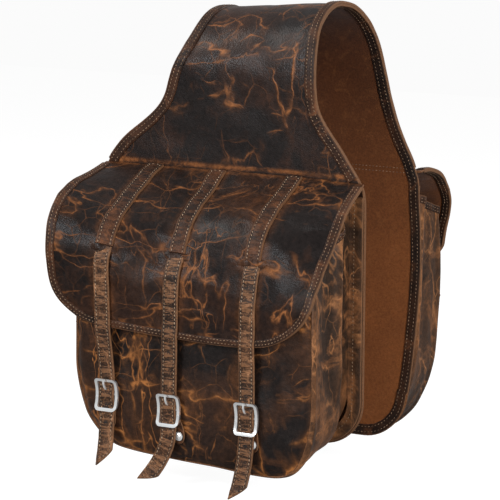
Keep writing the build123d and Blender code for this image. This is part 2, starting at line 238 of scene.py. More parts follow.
def joint_place(name):
    """A joint's x, y and z in millimetres, with the swing of the pouch taken out."""
    x, y, z = np.array(JOINT[name]["pos_m"]) * 1000.0
    return (float(x), *map(float, rotate(y, z, -SWING)))


HINGE_Y, HINGE_Z = joint_place("front_flap_hinge")[1:]
CROWN = 300.0 - HINGE_Z        # height of the crown's underside over the panel bottom
GAP = -HINGE_Y - 2.2           # crown centre to the outer face of a back panel
PRONGS = [joint_place("front_prong_%d_swing" % i) for i in (1, 2, 3)]
STRAP_X = [prong[0] for prong in PRONGS]                # strap centre lines
BAR_Z = [prong[2] + CROWN for prong in PRONGS]          # buckle bars
HALF_WIDTH = (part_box("front_gusset")[1].x * 1000.0) + 2.0     # of a back panel
BACK_CORNER = 50.0             # corner radius of a back panel
BACK_THICK = 3.0
FLAP_THICK = 2.8
POUCH_THICK = 2.4
REAR_DROP = 11.0               # the rear pouch is a little deeper than the front one
STRAP_HALF = 9.5
SEAM = 6.6                     # stitch rows either side of a strap's centre line


def to_frame(across, out, up, rear=False):
    """Half-local millimetres to row-frame millimetres."""
    x, out, up = np.broadcast_arrays(np.asarray(across, float), np.asarray(out, float),
                                     np.asarray(up, float))
    y, z = rotate(-(GAP + out), up - CROWN, SWING)
    return columns(-x, -y, z) if rear else columns(x, y, z)


# ------------------------------------------------------------------ materials
def tint(first, second, share):
    """Colour between two, share being the part of the second."""
    return tuple((1 - share) * a + share * b for a, b in zip(first, second))


class Graph:
    """A shader node tree with short calls for the nodes used here."""

    def __init__(self, owner, clear=True):
        owner.use_nodes = True
        self.tree = owner.node_tree
        if clear:
            self.tree.nodes.clear()

    def feed(self, node, inputs):
        """Link sockets to, or set values on, a node's inputs."""
        for key, value in inputs.items():
            if isinstance(value, bpy.types.NodeSocket):
                self.tree.links.new(value, node.inputs[key])
            else:
                node.inputs[key].default_value = value

    def node(self, kind, inputs={}, **settings):
        node = self.tree.nodes.new(kind)
        for key, value in settings.items():
            setattr(node, key, value)
        self.feed(node, inputs)
        return node

    def calc(self, operation, a, b=None, clamp=False):
        inputs = {0: a} if b is None else {0: a, 1: b}
        return self.node("ShaderNodeMath", inputs, operation=operation, use_clamp=clamp).outputs[0]

    def mul(self, a, b, clamp=False):
        return self.calc("MULTIPLY", a, b, clamp)

    def add(self, a, b, clamp=False):
        return self.calc("ADD", a, b, clamp)

    def vector(self, operation, inputs):
        return self.node("ShaderNodeVectorMath", inputs, operation=operation).outputs[0]

    def ramp(self, source, *stops):
        """Stops are (position, grey level or colour)."""
        node = self.node("ShaderNodeValToRGB", {0: source})
        elements = node.color_ramp.elements
        while len(elements) < len(stops):
            elements.new(0.5)
        for element, (position, level) in zip(elements, stops):
            element.position = position
            element.color = (*level, 1) if isinstance(level, tuple) else (level,) * 3 + (1,)
        return node.outputs[0]

    def mix(self, factor, a, b, blend="MIX"):
        a, b = ((*c, 1) if isinstance(c, tuple) else c for c in (a, b))
        return self.node("ShaderNodeMix", data_type="RGBA", blend_type=blend,
                         inputs={0: factor, 6: a, 7: b}).outputs[2]

    def noise(self, vector, scale, detail=3.0, rough=0.5, distort=0.0, output="Fac"):
        return self.node("ShaderNodeTexNoise", {
            "Scale": scale, "Detail": detail, "Roughness": rough, "Distortion": distort,
            "Vector": vector}).outputs[output]

    def attribute(self, name):
        return self.node("ShaderNodeAttribute", attribute_name=name).outputs["Fac"]

    def bump(self, height, strength, distance):
        return self.node("ShaderNodeBump", {
            "Strength": strength, "Distance": distance, "Height": height}).outputs[0]


def start_material(name):
    """New material: returns it with its graph, its shader and the object coordinates."""
    material = bpy.data.materials.new(name)
    g = Graph(material)
    shader = g.node("ShaderNodeBsdfPrincipled")
    g.node("ShaderNodeOutputMaterial", {0: shader.outputs[0]})
    return material, g, shader, g.node("ShaderNodeTexCoord").outputs["Object"]


def leather(name, dark, mid, orange, seed, crack, blotch, rough=0.33, rungs=0.0, spec=0.20,
            feather=1.0, halo=1.0, mottle=0.0):
    """Waxed pull-up hide: near-black surface, brown rub-through patches, thin orange creases.

    crack, blotch, feather, halo and mottle are the strengths of the creases, the brown
    patches, the feathered streaks, the glow beside creases and the small flecks; rungs is
    that of the marks across a strap. seed shifts the pattern.
    """
    material, g, shader, coords = start_material(name)
    coords = g.node("ShaderNodeMapping", {
        0: coords, "Location": (seed, seed * 0.7, -seed * 0.4)}).outputs[0]
    # a warped coordinate makes the creases wander
    wander = g.noise(coords, scale=13.0, output="Color")
    wander = g.vector("SUBTRACT", {0: wander, 1: (0.5, 0.5, 0.5)})
    wander = g.vector("SCALE", {0: wander, "Scale": 0.05})
    warped = g.vector("ADD", {0: coords, 1: wander})

    def lines(vector, scale, width, detail, soft=2.2):
        field = g.noise(vector, scale, detail, rough=0.45, distort=0.4)
        off = g.calc("ABSOLUTE", g.calc("SUBTRACT", field, 0.5))
        return g.ramp(off, (0.0, 1.0), (width * 0.8, 0.35), (width * soft * 0.72, 0.0))

    def turned(vector, rotation, scale):
        return g.node("ShaderNodeMapping", {
            "Rotation": rotation, "Scale": scale, 0: vector}).outputs[0]

    big = g.noise(coords, scale=7.5, detail=4.0, rough=0.55, distort=0.6)
    medium = g.noise(warped, scale=24.0, detail=6.0, rough=0.62, distort=0.9)
    fine = g.noise(coords, scale=210.0, detail=4.0, rough=0.6)
    broad_patches = g.ramp(big, (0.46, 0.0), (0.62, 1.0))
    small_patches = g.ramp(medium, (0.53, 0.0), (0.74, 1.0))

    # three families of creases, each with its own direction and mask
    grain_a = turned(warped, (0.2, 0.55, 0.25), (1.0, 1.0, 0.30))
    grain_b = turned(warped, (0.1, -0.75, -0.2), (0.32, 1.0, 1.0))
    grain_c = turned(warped, (0.3, 1.25, 0.1), (1.0, 1.0, 0.36))
    mask_a = g.ramp(g.noise(coords, scale=10.0, distort=0.3), (0.45, 0.0), (0.57, 1.0))
    mask_b = g.ramp(g.noise(turned(coords, (0, 0, 0), (1, 1, 1)), scale=17.0, distort=0.6),
                    (0.46, 0.0), (0.57, 1.0))
    mask_c = g.ramp(g.noise(grain_c, scale=8.0, distort=0.3), (0.50, 0.0), (0.62, 1.0))
    lines_a = g.mul(lines(grain_a, scale=15.0, width=0.0095, detail=4.0), mask_a)
    lines_b = g.mul(lines(grain_b, scale=21.0, width=0.0095, detail=3.0), mask_b)
    lines_c = g.mul(lines(grain_c, scale=33.0, width=0.010, detail=3.0), mask_c)
    cells = g.node("ShaderNodeTexVoronoi", {"Scale": 30.0, "Vector": warped},
                   feature="DISTANCE_TO_EDGE").outputs["Distance"]
    cells = g.mul(g.mul(g.ramp(cells, (0.0, 1.0), (0.025, 0.0)), mask_b), 0.30)
    halo_a = g.mul(g.mul(lines(grain_a, 15.0, width=0.030, detail=4.0, soft=2.4), mask_a), 0.42)
    halo_b = g.mul(g.mul(lines(grain_b, 21.0, width=0.030, detail=3.0, soft=2.4), mask_b), 0.35)
    glow = g.calc("MAXIMUM", halo_a, halo_b)
    streaks = g.mul(
        g.ramp(g.noise(grain_a, scale=95.0, detail=8.0, rough=0.72, distort=1.2),
               (0.50, 0.0), (0.66, 1.0)),
        g.ramp(g.noise(coords, scale=13.0, detail=4.0, rough=0.6, distort=0.8),
               (0.56, 0.0), (0.68, 1.0)))
    creases = g.calc("MAXIMUM", g.calc("MAXIMUM", lines_a, lines_c),
                     g.calc("MAXIMUM", lines_b, cells))
    creases = g.mul(creases, crack, clamp=True)
    # creases never run at full strength for long
    creases = g.mul(creases, g.ramp(g.noise(coords, scale=55.0, rough=0.6),
                                    (0.34, 0.25), (0.62, 1.0)))

    colour = g.mix(g.mul(broad_patches, 0.9, clamp=True), dark, tint(dark, mid, 0.38))
    colour = g.mix(g.mul(small_patches, blotch, clamp=True), colour, mid)
    colour = g.mix(g.mul(glow, crack * halo, clamp=True), colour, tint(mid, orange, 0.28))
    colour = g.mix(g.mul(streaks, 0.55 * crack * feather, clamp=True), colour,
                   tint(mid, orange, 0.5))
    # local wear held on the vertices breaks up with the medium noise
    worn = g.mul(g.attribute("wear"), g.ramp(medium, (0.40, 0.10), (0.62, 0.95)), clamp=True)
    colour = g.mix(worn, colour, tint(mid, orange, 0.38))
    colour = g.mix(g.mul(creases, 0.92, clamp=True), colour, orange)
    colour = g.mix(1.0, colour, g.ramp(fine, (0.3, 0.58), (0.7, 1.32)), blend="MULTIPLY")
    if mottle > 0:
        # small light and dark flecks of a worn strap
        flecks = g.noise(coords, scale=400.0, detail=5.0, rough=0.70, distort=0.6)
        light = g.mul(g.ramp(flecks, (0.54, 0.0), (0.67, 1.0)), 0.70 * mottle)
        colour = g.mix(light, colour, tint(mid, orange, 0.60))
        shade = g.mul(g.ramp(flecks, (0.40, 1.0), (0.50, 0.0)), 0.75 * mottle)
        colour = g.mix(shade, colour, dark)
    # bare fibre along cut edges
    ragged = g.add(g.attribute("edge"), g.mul(g.calc("SUBTRACT", fine, 0.5), 1.6))
    raw = g.ramp(g.mul(ragged, 0.1), (0.035, 0.80), (0.085, 0.20), (0.20, 0.0))
    colour = g.mix(raw, colour, (0.22, 0.105, 0.05))

    height = g.add(g.mul(creases, 0.5), g.mul(fine, 0.28))
    pores = g.node("ShaderNodeTexVoronoi", {"Scale": 620.0, "Vector": coords}, feature="F1")
    height = g.add(height, g.mul(pores.outputs["Distance"], 0.35))
    height = g.add(height, g.mul(medium, 0.9))
    if rungs > 0:
        across = g.attribute("across")
        spot = g.node("ShaderNodeCombineXYZ", {
            0: g.mul(across, 0.030), 1: g.mul(g.attribute("along"), 0.20)}).outputs[0]
        marks = g.noise(spot, scale=1.0, rough=0.6, distort=0.7)
        rung = g.ramp(marks, (0.50, 0.0), (0.56, 1.0), (0.60, 1.0), (0.68, 0.1))
        inside = g.ramp(g.mul(g.calc("ABSOLUTE", across), 0.1), (0.45, 1.0), (0.72, 0.15))
        rung = g.mul(rung, g.mul(inside, rungs))
        colour = g.mix(g.mul(rung, 0.75, clamp=True), colour, tint(mid, orange, 0.5))
        shade = g.ramp(marks, (0.34, 1.0), (0.42, 0.0))
        colour = g.mix(g.mul(shade, 0.5 * min(1.0, rungs)), colour, dark)
        height = g.add(height, g.mul(rung, 1.3))
    roughness = g.add(g.mul(medium, 0.25), rough - 0.10)
    roughness = g.add(roughness, g.mul(creases, 0.18))
    roughness = g.add(roughness, g.mul(raw, 0.35), clamp=True)
    g.feed(shader, {
        "Base Color": colour,
        "Roughness": roughness,
        "Normal": g.bump(height, strength=0.55, distance=0.0009),
        "Specular IOR Level": spec,
        "Coat Weight": 0.0,
        "Coat Roughness": 0.22,
    })
    return material


def suede(name):
    """Flesh side of the hide, with painted shade darkening it towards the crown."""
    material, g, shader, coords = start_material(name)
    broad = g.noise(coords, scale=10.0, detail=5.0, rough=0.6, distort=0.5)
    nap = g.noise(coords, scale=420.0, detail=4.0, rough=0.7)
    medium = g.noise(coords, scale=60.0, detail=5.0, rough=0.65, distort=0.8)
    # painted shade: the colour darkens with height, deepest towards the crown under the arch
    height = g.node("ShaderNodeSeparateXYZ", {0: coords}).outputs["Z"]
    colour = g.ramp(g.mul(g.add(height, 0.52), 1.9),
                    (0.0, (0.25, 0.078, 0.019)), (0.50, (0.20, 0.062, 0.015)),
                    (0.80, (0.085, 0.026, 0.008)), (1.0, (0.045, 0.014, 0.005)))
    colour = g.mix(g.ramp(broad, (0.38, 0.0), (0.66, 0.5)), colour, (0.10, 0.031, 0.009))
    colour = g.mix(g.ramp(medium, (0.52, 0.0), (0.75, 0.28)), colour, (0.30, 0.11, 0.032))
    colour = g.mix(1.0, colour, g.ramp(nap, (0.25, 0.62), (0.75, 1.30)), blend="MULTIPLY")
    g.feed(shader, {
        "Base Color": colour,
        "Roughness": 0.92,
        "Specular IOR Level": 0.15,
        "Sheen Weight": 0.12,
        "Sheen Roughness": 0.5,
        "Normal": g.bump(g.add(nap, medium), strength=0.6, distance=0.0006),
    })
    return material


def plain(name, colour_a, colour_b, rough, scale=300.0, metal=0.0, bump_depth=0.0003, spec=0.5,
          glow=0.0):
    """Two colours mixed by one noise; a glow above zero adds a painted highlight as white emission."""
    material, g, shader, coords = start_material(name)
    noise = g.noise(coords, scale, detail=4.0, rough=0.6)
    g.feed(shader, {
        "Base Color": g.mix(g.ramp(noise, (0.35, 0.0), (0.65, 1.0)), colour_a, colour_b),
        "Roughness": g.add(g.mul(noise, 0.12), rough - 0.06),
        "Metallic": metal,
        "Specular IOR Level": spec,
        "Normal": g.bump(noise, strength=0.4, distance=bump_depth),
    })
    if glow > 0:
        # painted highlight: the metal emits white light of its own, bright on faces turned to the camera and
        # fading to darker rims, to look like plated metal in a white room
        facing = g.node("ShaderNodeLayerWeight", {"Blend": 0.35}).outputs["Facing"]
        g.feed(shader, {
            "Emission Color": (1.0, 1.0, 1.0, 1.0),
            "Emission Strength": g.ramp(facing, (0.05, glow), (0.38, 0.45 * glow), (0.62, 0.0)),
        })
    return material


DARK, BROWN, ORANGE = (0.0110, 0.0078, 0.0070), (0.064, 0.0230, 0.0095), (0.36, 0.128, 0.038)
DULL_ORANGE = (0.24, 0.088, 0.034)
BODY = leather("leather_body", DARK, BROWN, ORANGE, seed=9.3, crack=0.72, blotch=0.40,
               feather=0.35, halo=0.5, spec=0.12)
YOKE = leather("leather_yoke", DARK, (0.060, 0.021, 0.009), ORANGE, seed=1.7, crack=0.8,
               blotch=0.42, feather=0.3, halo=0.6)
POUCH = leather("leather_pouch", (0.0115, 0.0080, 0.0070), (0.115, 0.042, 0.015),
                (0.42, 0.155, 0.042), seed=3.1, crack=1.1, blotch=0.75, halo=1.3, spec=0.17)
SIDE = leather("leather_side", (0.034, 0.018, 0.0105), (0.23, 0.090, 0.033),
               (0.46, 0.19, 0.07), seed=5.3, crack=0.9, blotch=1.4, rough=0.42, feather=1.3)
STRAP = leather("leather_strap", (0.0135, 0.0085, 0.0065), (0.098, 0.041, 0.019),
                (0.48, 0.225, 0.105), seed=2.2, crack=0.9, blotch=0.85, rough=0.44, rungs=0.75,
                spec=0.17, mottle=1.0)
UPPER = leather("leather_upper", (0.013, 0.0085, 0.0068), (0.060, 0.023, 0.0105), DULL_ORANGE,
                seed=4.4, crack=0.5, blotch=0.8, rough=0.42, rungs=0.35, spec=0.14, mottle=0.45)
BINDING = leather("leather_binding", (0.014, 0.0092, 0.0075), (0.065, 0.025, 0.0115),
                  DULL_ORANGE, seed=6.6, crack=0.4, blotch=0.9, rough=0.42, spec=0.14)
SUEDE = suede("suede")
RAW_EDGE = plain("raw_edge", (0.115, 0.050, 0.022), (0.22, 0.10, 0.048), rough=0.75, scale=400.0,
                 spec=0.15)
THREAD = plain("thread", (0.15, 0.088, 0.050), (0.46, 0.32, 0.21), rough=0.75, scale=160.0,
               spec=0.2)
THREAD_DARK = plain("thread_dark", (0.09, 0.052, 0.031), (0.32, 0.20, 0.12), rough=0.75,
                    scale=120.0, spec=0.2)
# painted shade: a near-black fill that stands in for the dark inside of strap holes and needle holes
HOLE_SHADE = plain("hole", (0.004, 0.003, 0.003), (0.008, 0.005, 0.004), rough=0.9)
# painted highlight: glow gives the nickel a white emission of its own
NICKEL = plain("nickel", (0.80, 0.80, 0.79), (0.90, 0.90, 0.89), rough=0.17, scale=8.0,
               metal=1.0, bump_depth=0.0, glow=0.20)


# ------------------------------------------------------------------ mesh builders
# Vertex attributes read by the leather: "edge" is the distance from a cut edge, "wear" the
# rub-through, "across" and "along" the place on a strip.
def build_mesh(name, verts, faces, materials, material_index=None, attrs={}, sharp_angle=40.0):
    """Object from millimetre vertices; a sharp_angle of 0 keeps every edge smooth."""
    mesh = bpy.data.meshes.new(name)
    mesh.from_pydata([tuple(v) for v in np.asarray(verts) * 0.001], [],
                     [tuple(int(i) for i in face) for face in faces])
    for material in materials:
        mesh.materials.append(material)
    if material_index is not None:
        mesh.polygons.foreach_set("material_index", np.asarray(material_index, np.int32))
    for key, values in attrs.items():
        attribute = mesh.attributes.new(key, "FLOAT", "POINT")
        attribute.data.foreach_set("value", np.full(len(verts), values, np.float32))
    mesh.validate()
    mesh.shade_smooth()
    if sharp_angle:
        mesh.set_sharp_from_angle(angle=math.radians(sharp_angle))
    mesh.update()
    ob = bpy.data.objects.new(name, mesh)
    bpy.context.scene.collection.objects.link(ob)
    return ob


def grid_faces(rows, cols, offset, flip):
    i, j = np.meshgrid(np.arange(rows - 1), np.arange(cols - 1), indexing="ij")
    first = offset + i * cols + j
    faces = np.stack([first, first + 1, first + cols + 1, first + cols], -1).reshape(-1, 4)
    return faces[:, ::-1] if flip else faces


def sheet(name, outer, normals, thickness, hide, edge, wear):
    """Closed sheet below an outer point grid: hide outside, suede inside, a raw rounded rim."""
    rows, cols = outer.shape[:2]
    mid_row, mid_col = rows // 2, cols // 2
    corner = outer[mid_row, mid_col]
    facing = np.cross(outer[mid_row, mid_col + 1] - corner, outer[mid_row + 1, mid_col] - corner)
    flip = np.dot(facing, normals[mid_row, mid_col]) < 0
    inner = outer - normals * thickness
    ring = np.array([(0, j) for j in range(cols)] + [(i, cols - 1) for i in range(1, rows)]
                    + [(rows - 1, j) for j in range(cols - 2, -1, -1)]
                    + [(i, 0) for i in range(rows - 2, 0, -1)])
    ring_i, ring_j = ring.T
    rim = outer[ring_i, ring_j]
    beyond = unit(rim - outer[np.clip(ring_i, 1, rows - 2), np.clip(ring_j, 1, cols - 2)])
    rim = rim - normals[ring_i, ring_j] * (thickness * 0.5) + beyond * (thickness * 0.22)
    verts = np.vstack([outer.reshape(-1, 3), inner.reshape(-1, 3), rim])

    size, count = rows * cols, len(ring)
    outer_ids = ring_i * cols + ring_j
    inner_ids = outer_ids + size
    rim_ids = 2 * size + np.arange(count)
    following = np.roll(np.arange(count), -1)
    to_rim = np.stack([outer_ids, rim_ids, rim_ids[following], outer_ids[following]], 1)
    to_inner = np.stack([rim_ids, inner_ids, inner_ids[following], rim_ids[following]], 1)
    if flip:
        to_rim, to_inner = to_rim[:, ::-1], to_inner[:, ::-1]
    faces = [grid_faces(rows, cols, 0, flip), grid_faces(rows, cols, size, not flip),
             to_rim, to_inner]
    attrs = {}
    for key, values in (("edge", edge), ("wear", wear)):
        values = np.broadcast_to(values, (rows, cols))
        attrs[key] = np.concatenate([values.ravel(), values.ravel(), values[ring_i, ring_j]])
    return build_mesh(name, verts, np.vstack(faces), [hide, SUEDE, RAW_EDGE],
                      np.repeat([0, 1, 2], [len(faces[0]), len(faces[1]), 2 * count]), attrs)


def side_faces(rings, sides, base=0):
    ring, side = np.meshgrid(np.arange(rings - 1), np.arange(sides), indexing="ij")
    first = base + ring * sides + side
    second = base + ring * sides + (side + 1) % sides
    return np.stack([first, second, second + sides, first + sides], -1).reshape(-1, 4)


def tube(name, rings, probe, outward, hide, attrs):
    """Capped tube through rings (count, sides, 3); its face at probe looks along outward."""
    count, sides = rings.shape[:2]
    verts = rings.reshape(-1, 3)
    quads = side_faces(count, sides)
    faces = [*quads.tolist(), range(sides - 1, -1, -1),
             range((count - 1) * sides, count * sides)]
    corner, second, third = verts[quads[probe[0] * sides + probe[1]][:3]]
    if np.dot(np.cross(second - corner, third - corner), outward) < 0:
        faces = [face[::-1] for face in faces]
    return build_mesh(name, verts, faces, [hide], None, attrs)


def sweep(name, surface, path, inward, section, hide, wear=0.0, both_edges=False):
    """A strip on a surface: path and inward (n, 2) in the surface's millimetres, section a
    closed ring of (distance inward, height)."""
    path, section = np.asarray(path, float), np.asarray(section, float)
    inward = np.broadcast_to(inward, path.shape)
    count, sides = len(path), len(section)
    spots = path[:, None, :] + inward[:, None, :] * section[None, :, 0:1]
    rings, normals = surface(spots[..., 0], spots[..., 1])
    rings = rings + normals * section[None, :, 1:2]
    top = int(np.argmax(section[:, 1]))
    offset = section[:, 0]
    low, high = offset.min(), offset.max()
    edge = np.minimum(offset - low, high - offset) if both_edges else offset - low
    attrs = {"edge": np.tile(edge, count), "across": np.tile(offset - (low + high) / 2, count),
             "along": np.repeat(run_lengths(rings[:, 0]), sides),
             "wear": np.repeat(np.broadcast_to(wear, count), sides)}
    return tube(name, rings, (count // 2, top), normals[count // 2, top], hide, attrs)


STITCH_PITCH = 4.3
STITCH_SIDES = 6
# (place along the half length, share of the radius, lift in radii)
STITCH_RINGS = [(-1.0, 0.35, -0.75), (-0.6, 0.85, 0.10), (0.0, 1.0, 0.45), (0.6, 0.85, 0.10),
                (1.0, 0.35, -0.75)]
# the needle holes are small near-black marks of painted shade
NEEDLE_HOLE = dict(length=1.5, radius=0.60, phase=0.02, sink=0.42)


def stitches(name, rows, material, length=2.7, radius=0.50, sink=0.12, phase=0.5):
    """Small rounded stitches along each (surface, path, height) of rows, in one mesh."""
    sides = STITCH_SIDES
    verts, faces = [], []
    base = 0
    for surface, path, height in rows:
        spots, normals = surface(path[:, 0], path[:, 1])
        spots = spots + normals * height
        run = run_lengths(spots)
        count = int(run[-1] / STITCH_PITCH)
        if count < 1:
            continue
        at = (np.arange(count) + phase) * run[-1] / count
        centre = interp_rows(at, run, spots)
        ahead = unit(interp_rows(at + 0.4, run, spots) - interp_rows(at - 0.4, run, spots))
        above = unit(interp_rows(at, run, normals))
        beside = unit(np.cross(above, ahead))
        above = np.cross(ahead, beside)
        # a slight slant, as real lockstitch has
        ahead = unit(ahead + 0.14 * beside)
        for along, share, lift in STITCH_RINGS:
            for angle in np.arange(sides) * 2 * np.pi / sides:
                rise = math.sin(angle) * radius * share + lift * radius - sink
                verts.append(centre + ahead * (along * length / 2)
                             + beside * (math.cos(angle) * radius * share) + above * rise)

        def corner(ring, side):
            """Vertex numbers of one ring corner in every stitch of the row."""
            return base + (ring * sides + side % sides) * count + np.arange(count)

        last = len(STITCH_RINGS) - 1
        for ring in range(last):
            for side in range(sides):
                faces.append(np.stack([corner(ring, side), corner(ring, side + 1),
                                       corner(ring + 1, side + 1), corner(ring + 1, side)], 1))
        for ring, order in ((0, -1), (last, 1)):
            for cap in ((0, 1, 2, 3), (0, 3, 4, 5)):
                faces.append(np.stack([corner(ring, side) for side in cap], 1)[:, ::order])
        base += len(STITCH_RINGS) * sides * count
    return build_mesh(name, np.vstack(verts), np.vstack(faces), [material], sharp_angle=0)


# ------------------------------------------------------------------ yoke: one hide over the crown
# "run" is the distance along the hide from the front hem, over the crown, to the rear hem.
SPRING = 398.0                 # height at which the hide leaves the panels and arches over
ARCH_RISE = 489.0 - SPRING
ARCH_POWER = 2 / 2.25          # a slightly squared ellipse
RIDGE = 306.0                  # run of the worn ridge, where the bindings start
arch_angle = np.linspace(0, math.pi / 2, 400)
ARCH_OUT = -GAP + GAP * np.cos(arch_angle) ** ARCH_POWER
ARCH_UP = SPRING + ARCH_RISE * np.sin(arch_angle) ** ARCH_POWER
ARCH_RUN = run_lengths(columns(ARCH_OUT, ARCH_UP))
RUN_CROWN = SPRING + ARCH_RUN[-1]

# (run from the nearer hem, distance of the edge from the middle plane); left is -X
YOKE_EDGES = {
    "front_left": [
        (50, 164), (270, 164), (290, 163.8), (298, 163), (303, 161.0), (311, 156.5), (320, 149.5),
        (331, 140.0), (342, 127.5), (355, 112), (369, 99), (384, 92), (400, 90.5), (420, 88),
        (445, 82), (470, 78), (500, 77), (RUN_CROWN, 76)],
    "front_right": [
        (50, 164), (270, 164), (286, 163.0), (296, 160.0), (303, 155.5), (311, 150.5), (320, 144),
        (331, 137), (342, 128.5), (355, 117), (369, 105), (384, 97), (400, 93), (420, 88.5),
        (445, 84), (470, 80), (500, 78.5), (RUN_CROWN, 78)],
    "rear_left": [
        (50, 164), (270, 164), (286, 163.9), (296, 162.0), (303, 158.0), (311, 152.0), (320, 145),
        (331, 134), (342, 122), (355, 109), (369, 97), (384, 90), (400, 87), (420, 84),
        (445, 81), (470, 78), (500, 77), (RUN_CROWN, 76)],
    "rear_right": [
        (50, 166), (90, 170), (180, 173), (235, 169), (270, 164), (286, 163.0), (296, 160.5),
        (303, 157.0), (311, 154.0), (320, 149.5), (331, 143), (342, 136.5), (355, 129),
        (369, 122), (384, 114.5), (400, 107), (420, 97.5), (445, 89.5), (470, 85), (500, 80),
        (RUN_CROWN, 78)],
}
YOKE_EDGES = {key: resample(table, 400) for key, table in YOKE_EDGES.items()}


def from_hem(run):
    """Run measured from the nearer hem."""
    return np.where(run > RUN_CROWN, 2 * RUN_CROWN - run, run)


def yoke_edge_x(run, sign):
    """Where the hide's edge lies across, on the side of the given sign."""
    hem = from_hem(run)
    side = "left" if sign < 0 else "right"
    width = np.where(run > RUN_CROWN, np.interp(hem, *YOKE_EDGES["rear_" + side].T),
                     np.interp(hem, *YOKE_EDGES["front_" + side].T))
    radius = BACK_CORNER
    corner = HALF_WIDTH - radius + np.sqrt(
        np.maximum(radius ** 2 - (radius - np.clip(hem, 0, radius)) ** 2, 0))
    low = corner + (width - HALF_WIDTH) * np.clip(hem / radius, 0, 1)
    return sign * np.where(hem < radius, low, width)


def yoke_place(x, run):
    """Outer face of the yoke."""
    x, run = np.broadcast_arrays(np.asarray(x, float), np.asarray(run, float))
    rear = run > RUN_CROWN
    hem = from_hem(run)
    arched = hem > SPRING
    over = np.clip(hem - SPRING, 0, ARCH_RUN[-1])
    out = np.where(arched, np.interp(over, ARCH_RUN, ARCH_OUT), 0.0)
    up = np.where(arched, np.interp(over, ARCH_RUN, ARCH_UP), hem)
    up = np.where(rear, up - REAR_DROP * (1 - np.clip(up / 280.0, 0, 1)), up)
    swing = SWING * (1 - 0.8 * smoothstep(RUN_CROWN - 60, RUN_CROWN, hem))
    y, z = rotate(-(GAP + out), up - CROWN, swing)
    y = np.where(rear, -y, y)
    # waves and a hollow, along the outward direction
    loose = smoothstep(306, 340, hem)
    depth = (fractal(x * 0.012, run * 0.011, 0, octaves=2, seed=3) * 3.2 * loose
             + fractal(x * 0.045, run * 0.04, 0, octaves=2, seed=9) * 0.9 * loose
             - 3.5 * bell(x, 10, 55.0) * bell(hem, 385, 45.0))
    reach = np.maximum(np.hypot(y, z + ARCH_RISE), 1e-6)
    normal_y = np.where(arched, y / reach, np.where(rear, 1.0, -1.0))
    normal_z = np.where(arched, (z + ARCH_RISE) / reach, 0.0)
    twist = 15.0 * smoothstep(-165, -25, z)
    # the crown sinks towards -X
    tilt = -0.078 * np.maximum(80 - x, 0) * smoothstep(-95, 0, z)
    return columns(x + twist, y + normal_y * depth, z + normal_z * depth + tilt)


yoke_outer = oriented(yoke_place, step=0.8, probe=(0.0, 200.0))
yoke_inner = underside(yoke_outer, BACK_THICK)


def on_yoke(ob):
    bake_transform(ob)


def build_yoke_hide():
    # rows crowd together at the hem's corners and over the ridge
    half_rows = np.concatenate([
        BACK_CORNER * (1 - np.cos(np.linspace(0, math.pi / 2, 12))), np.arange(60, 284, 9.0),
        np.arange(284, 300, 4.0), np.arange(300, 314, 1.4), np.arange(314.5, SPRING - 2, 4.6),
        np.linspace(SPRING, RUN_CROWN, 30)])
    rows = np.concatenate([half_rows, (2 * RUN_CROWN - half_rows[:-1])[::-1]])
    spread = np.linspace(-1, 1, 61)
    spread = np.sign(spread) * (1 - (1 - np.abs(spread)) ** 1.15)
    left, right = yoke_edge_x(rows, -1)[:, None], yoke_edge_x(rows, 1)[:, None]
    x = (left + right) / 2 + spread[None, :] * (right - left) / 2
    hem = from_hem(rows)[:, None]
    outer, normals = yoke_outer(x, rows[:, None])
    edge = np.minimum(np.minimum(x - left, right - x), hem)
    ob = sheet("yoke_hide", outer, normals, BACK_THICK, YOKE, edge,
               wear=bell(hem, RIDGE, 2.2) * 2.2)
    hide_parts("front_yoke", "rear_yoke")
    on_yoke(ob)


def build_yoke_bindings():
    """Raised strips along both edges, over the crown; returns their stitch rows."""
    section = [(-0.8, -1.6), (-1.4, 0.2), (-0.9, 1.7), (0.6, 2.3), (2.6, 2.0), (5.4, 2.2),
               (8.4, 1.9), (10.2, 1.9), (11.3, 1.2), (11.5, 0.0)]
    start, end = RIDGE, 2 * RUN_CROWN - RIDGE
    run = np.linspace(start, end, int((end - start) / 4.0) + 2)
    rows = []
    for sign, side in ((-1, "left"), (1, "right")):
        path = columns(yoke_edge_x(run, sign), run)
        inward = left_normals(path) * sign
        ob = sweep("yoke_binding_" + side, yoke_outer, path, inward, section, BINDING, wear=0.25)
        if sign < 0:
            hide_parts("front_yoke_binding", "rear_yoke_binding")
        on_yoke(ob)
        rows += [(yoke_outer, path + inward * offset, 2.0) for offset in (3.0, 8.6)]
    return rows


def build_yoke_inner_strips():
    """The edge strip folded over to the flesh side, all round; returns its stitch rows."""
    section = [(-0.7, -1.5), (-1.0, 0.2), (-0.5, 1.0), (1.2, 1.3), (5.0, 1.3), (9.5, 1.25),
               (11.6, 1.0), (11.9, -0.1)]
    run = np.linspace(54, 2 * RUN_CROWN - 54, 230)
    flat = HALF_WIDTH - BACK_CORNER
    rows = []
    for sign, side in ((-1, "left"), (1, "right")):
        corner = np.array(arc(sign * flat, BACK_CORNER, BACK_CORNER, -90, -90 + sign * 90, 16))
        hem = columns(np.linspace(0, sign * flat, 22)[:-1], 0.0)
        rear = np.vstack([corner[::-1], hem[::-1]])
        rear[:, 1] = 2 * RUN_CROWN - rear[:, 1]
        path = np.vstack([hem, corner, columns(yoke_edge_x(run, sign), run), rear])
        inward = left_normals(path) * sign
        ob = sweep("yoke_inner_strip_" + side, yoke_inner, path, inward, section, BINDING,
                   wear=0.10)
        on_yoke(ob)
        rows += [(yoke_inner, path[2:-2] + inward[2:-2] * offset, height)
                 for offset, height in ((3.2, 1.3), (9.2, 1.2))]
    return rows


build_yoke_hide()
yoke_rows = build_yoke_bindings()
yoke_rows += build_yoke_inner_strips()
on_yoke(stitches("yoke_stitches", yoke_rows, THREAD_DARK))


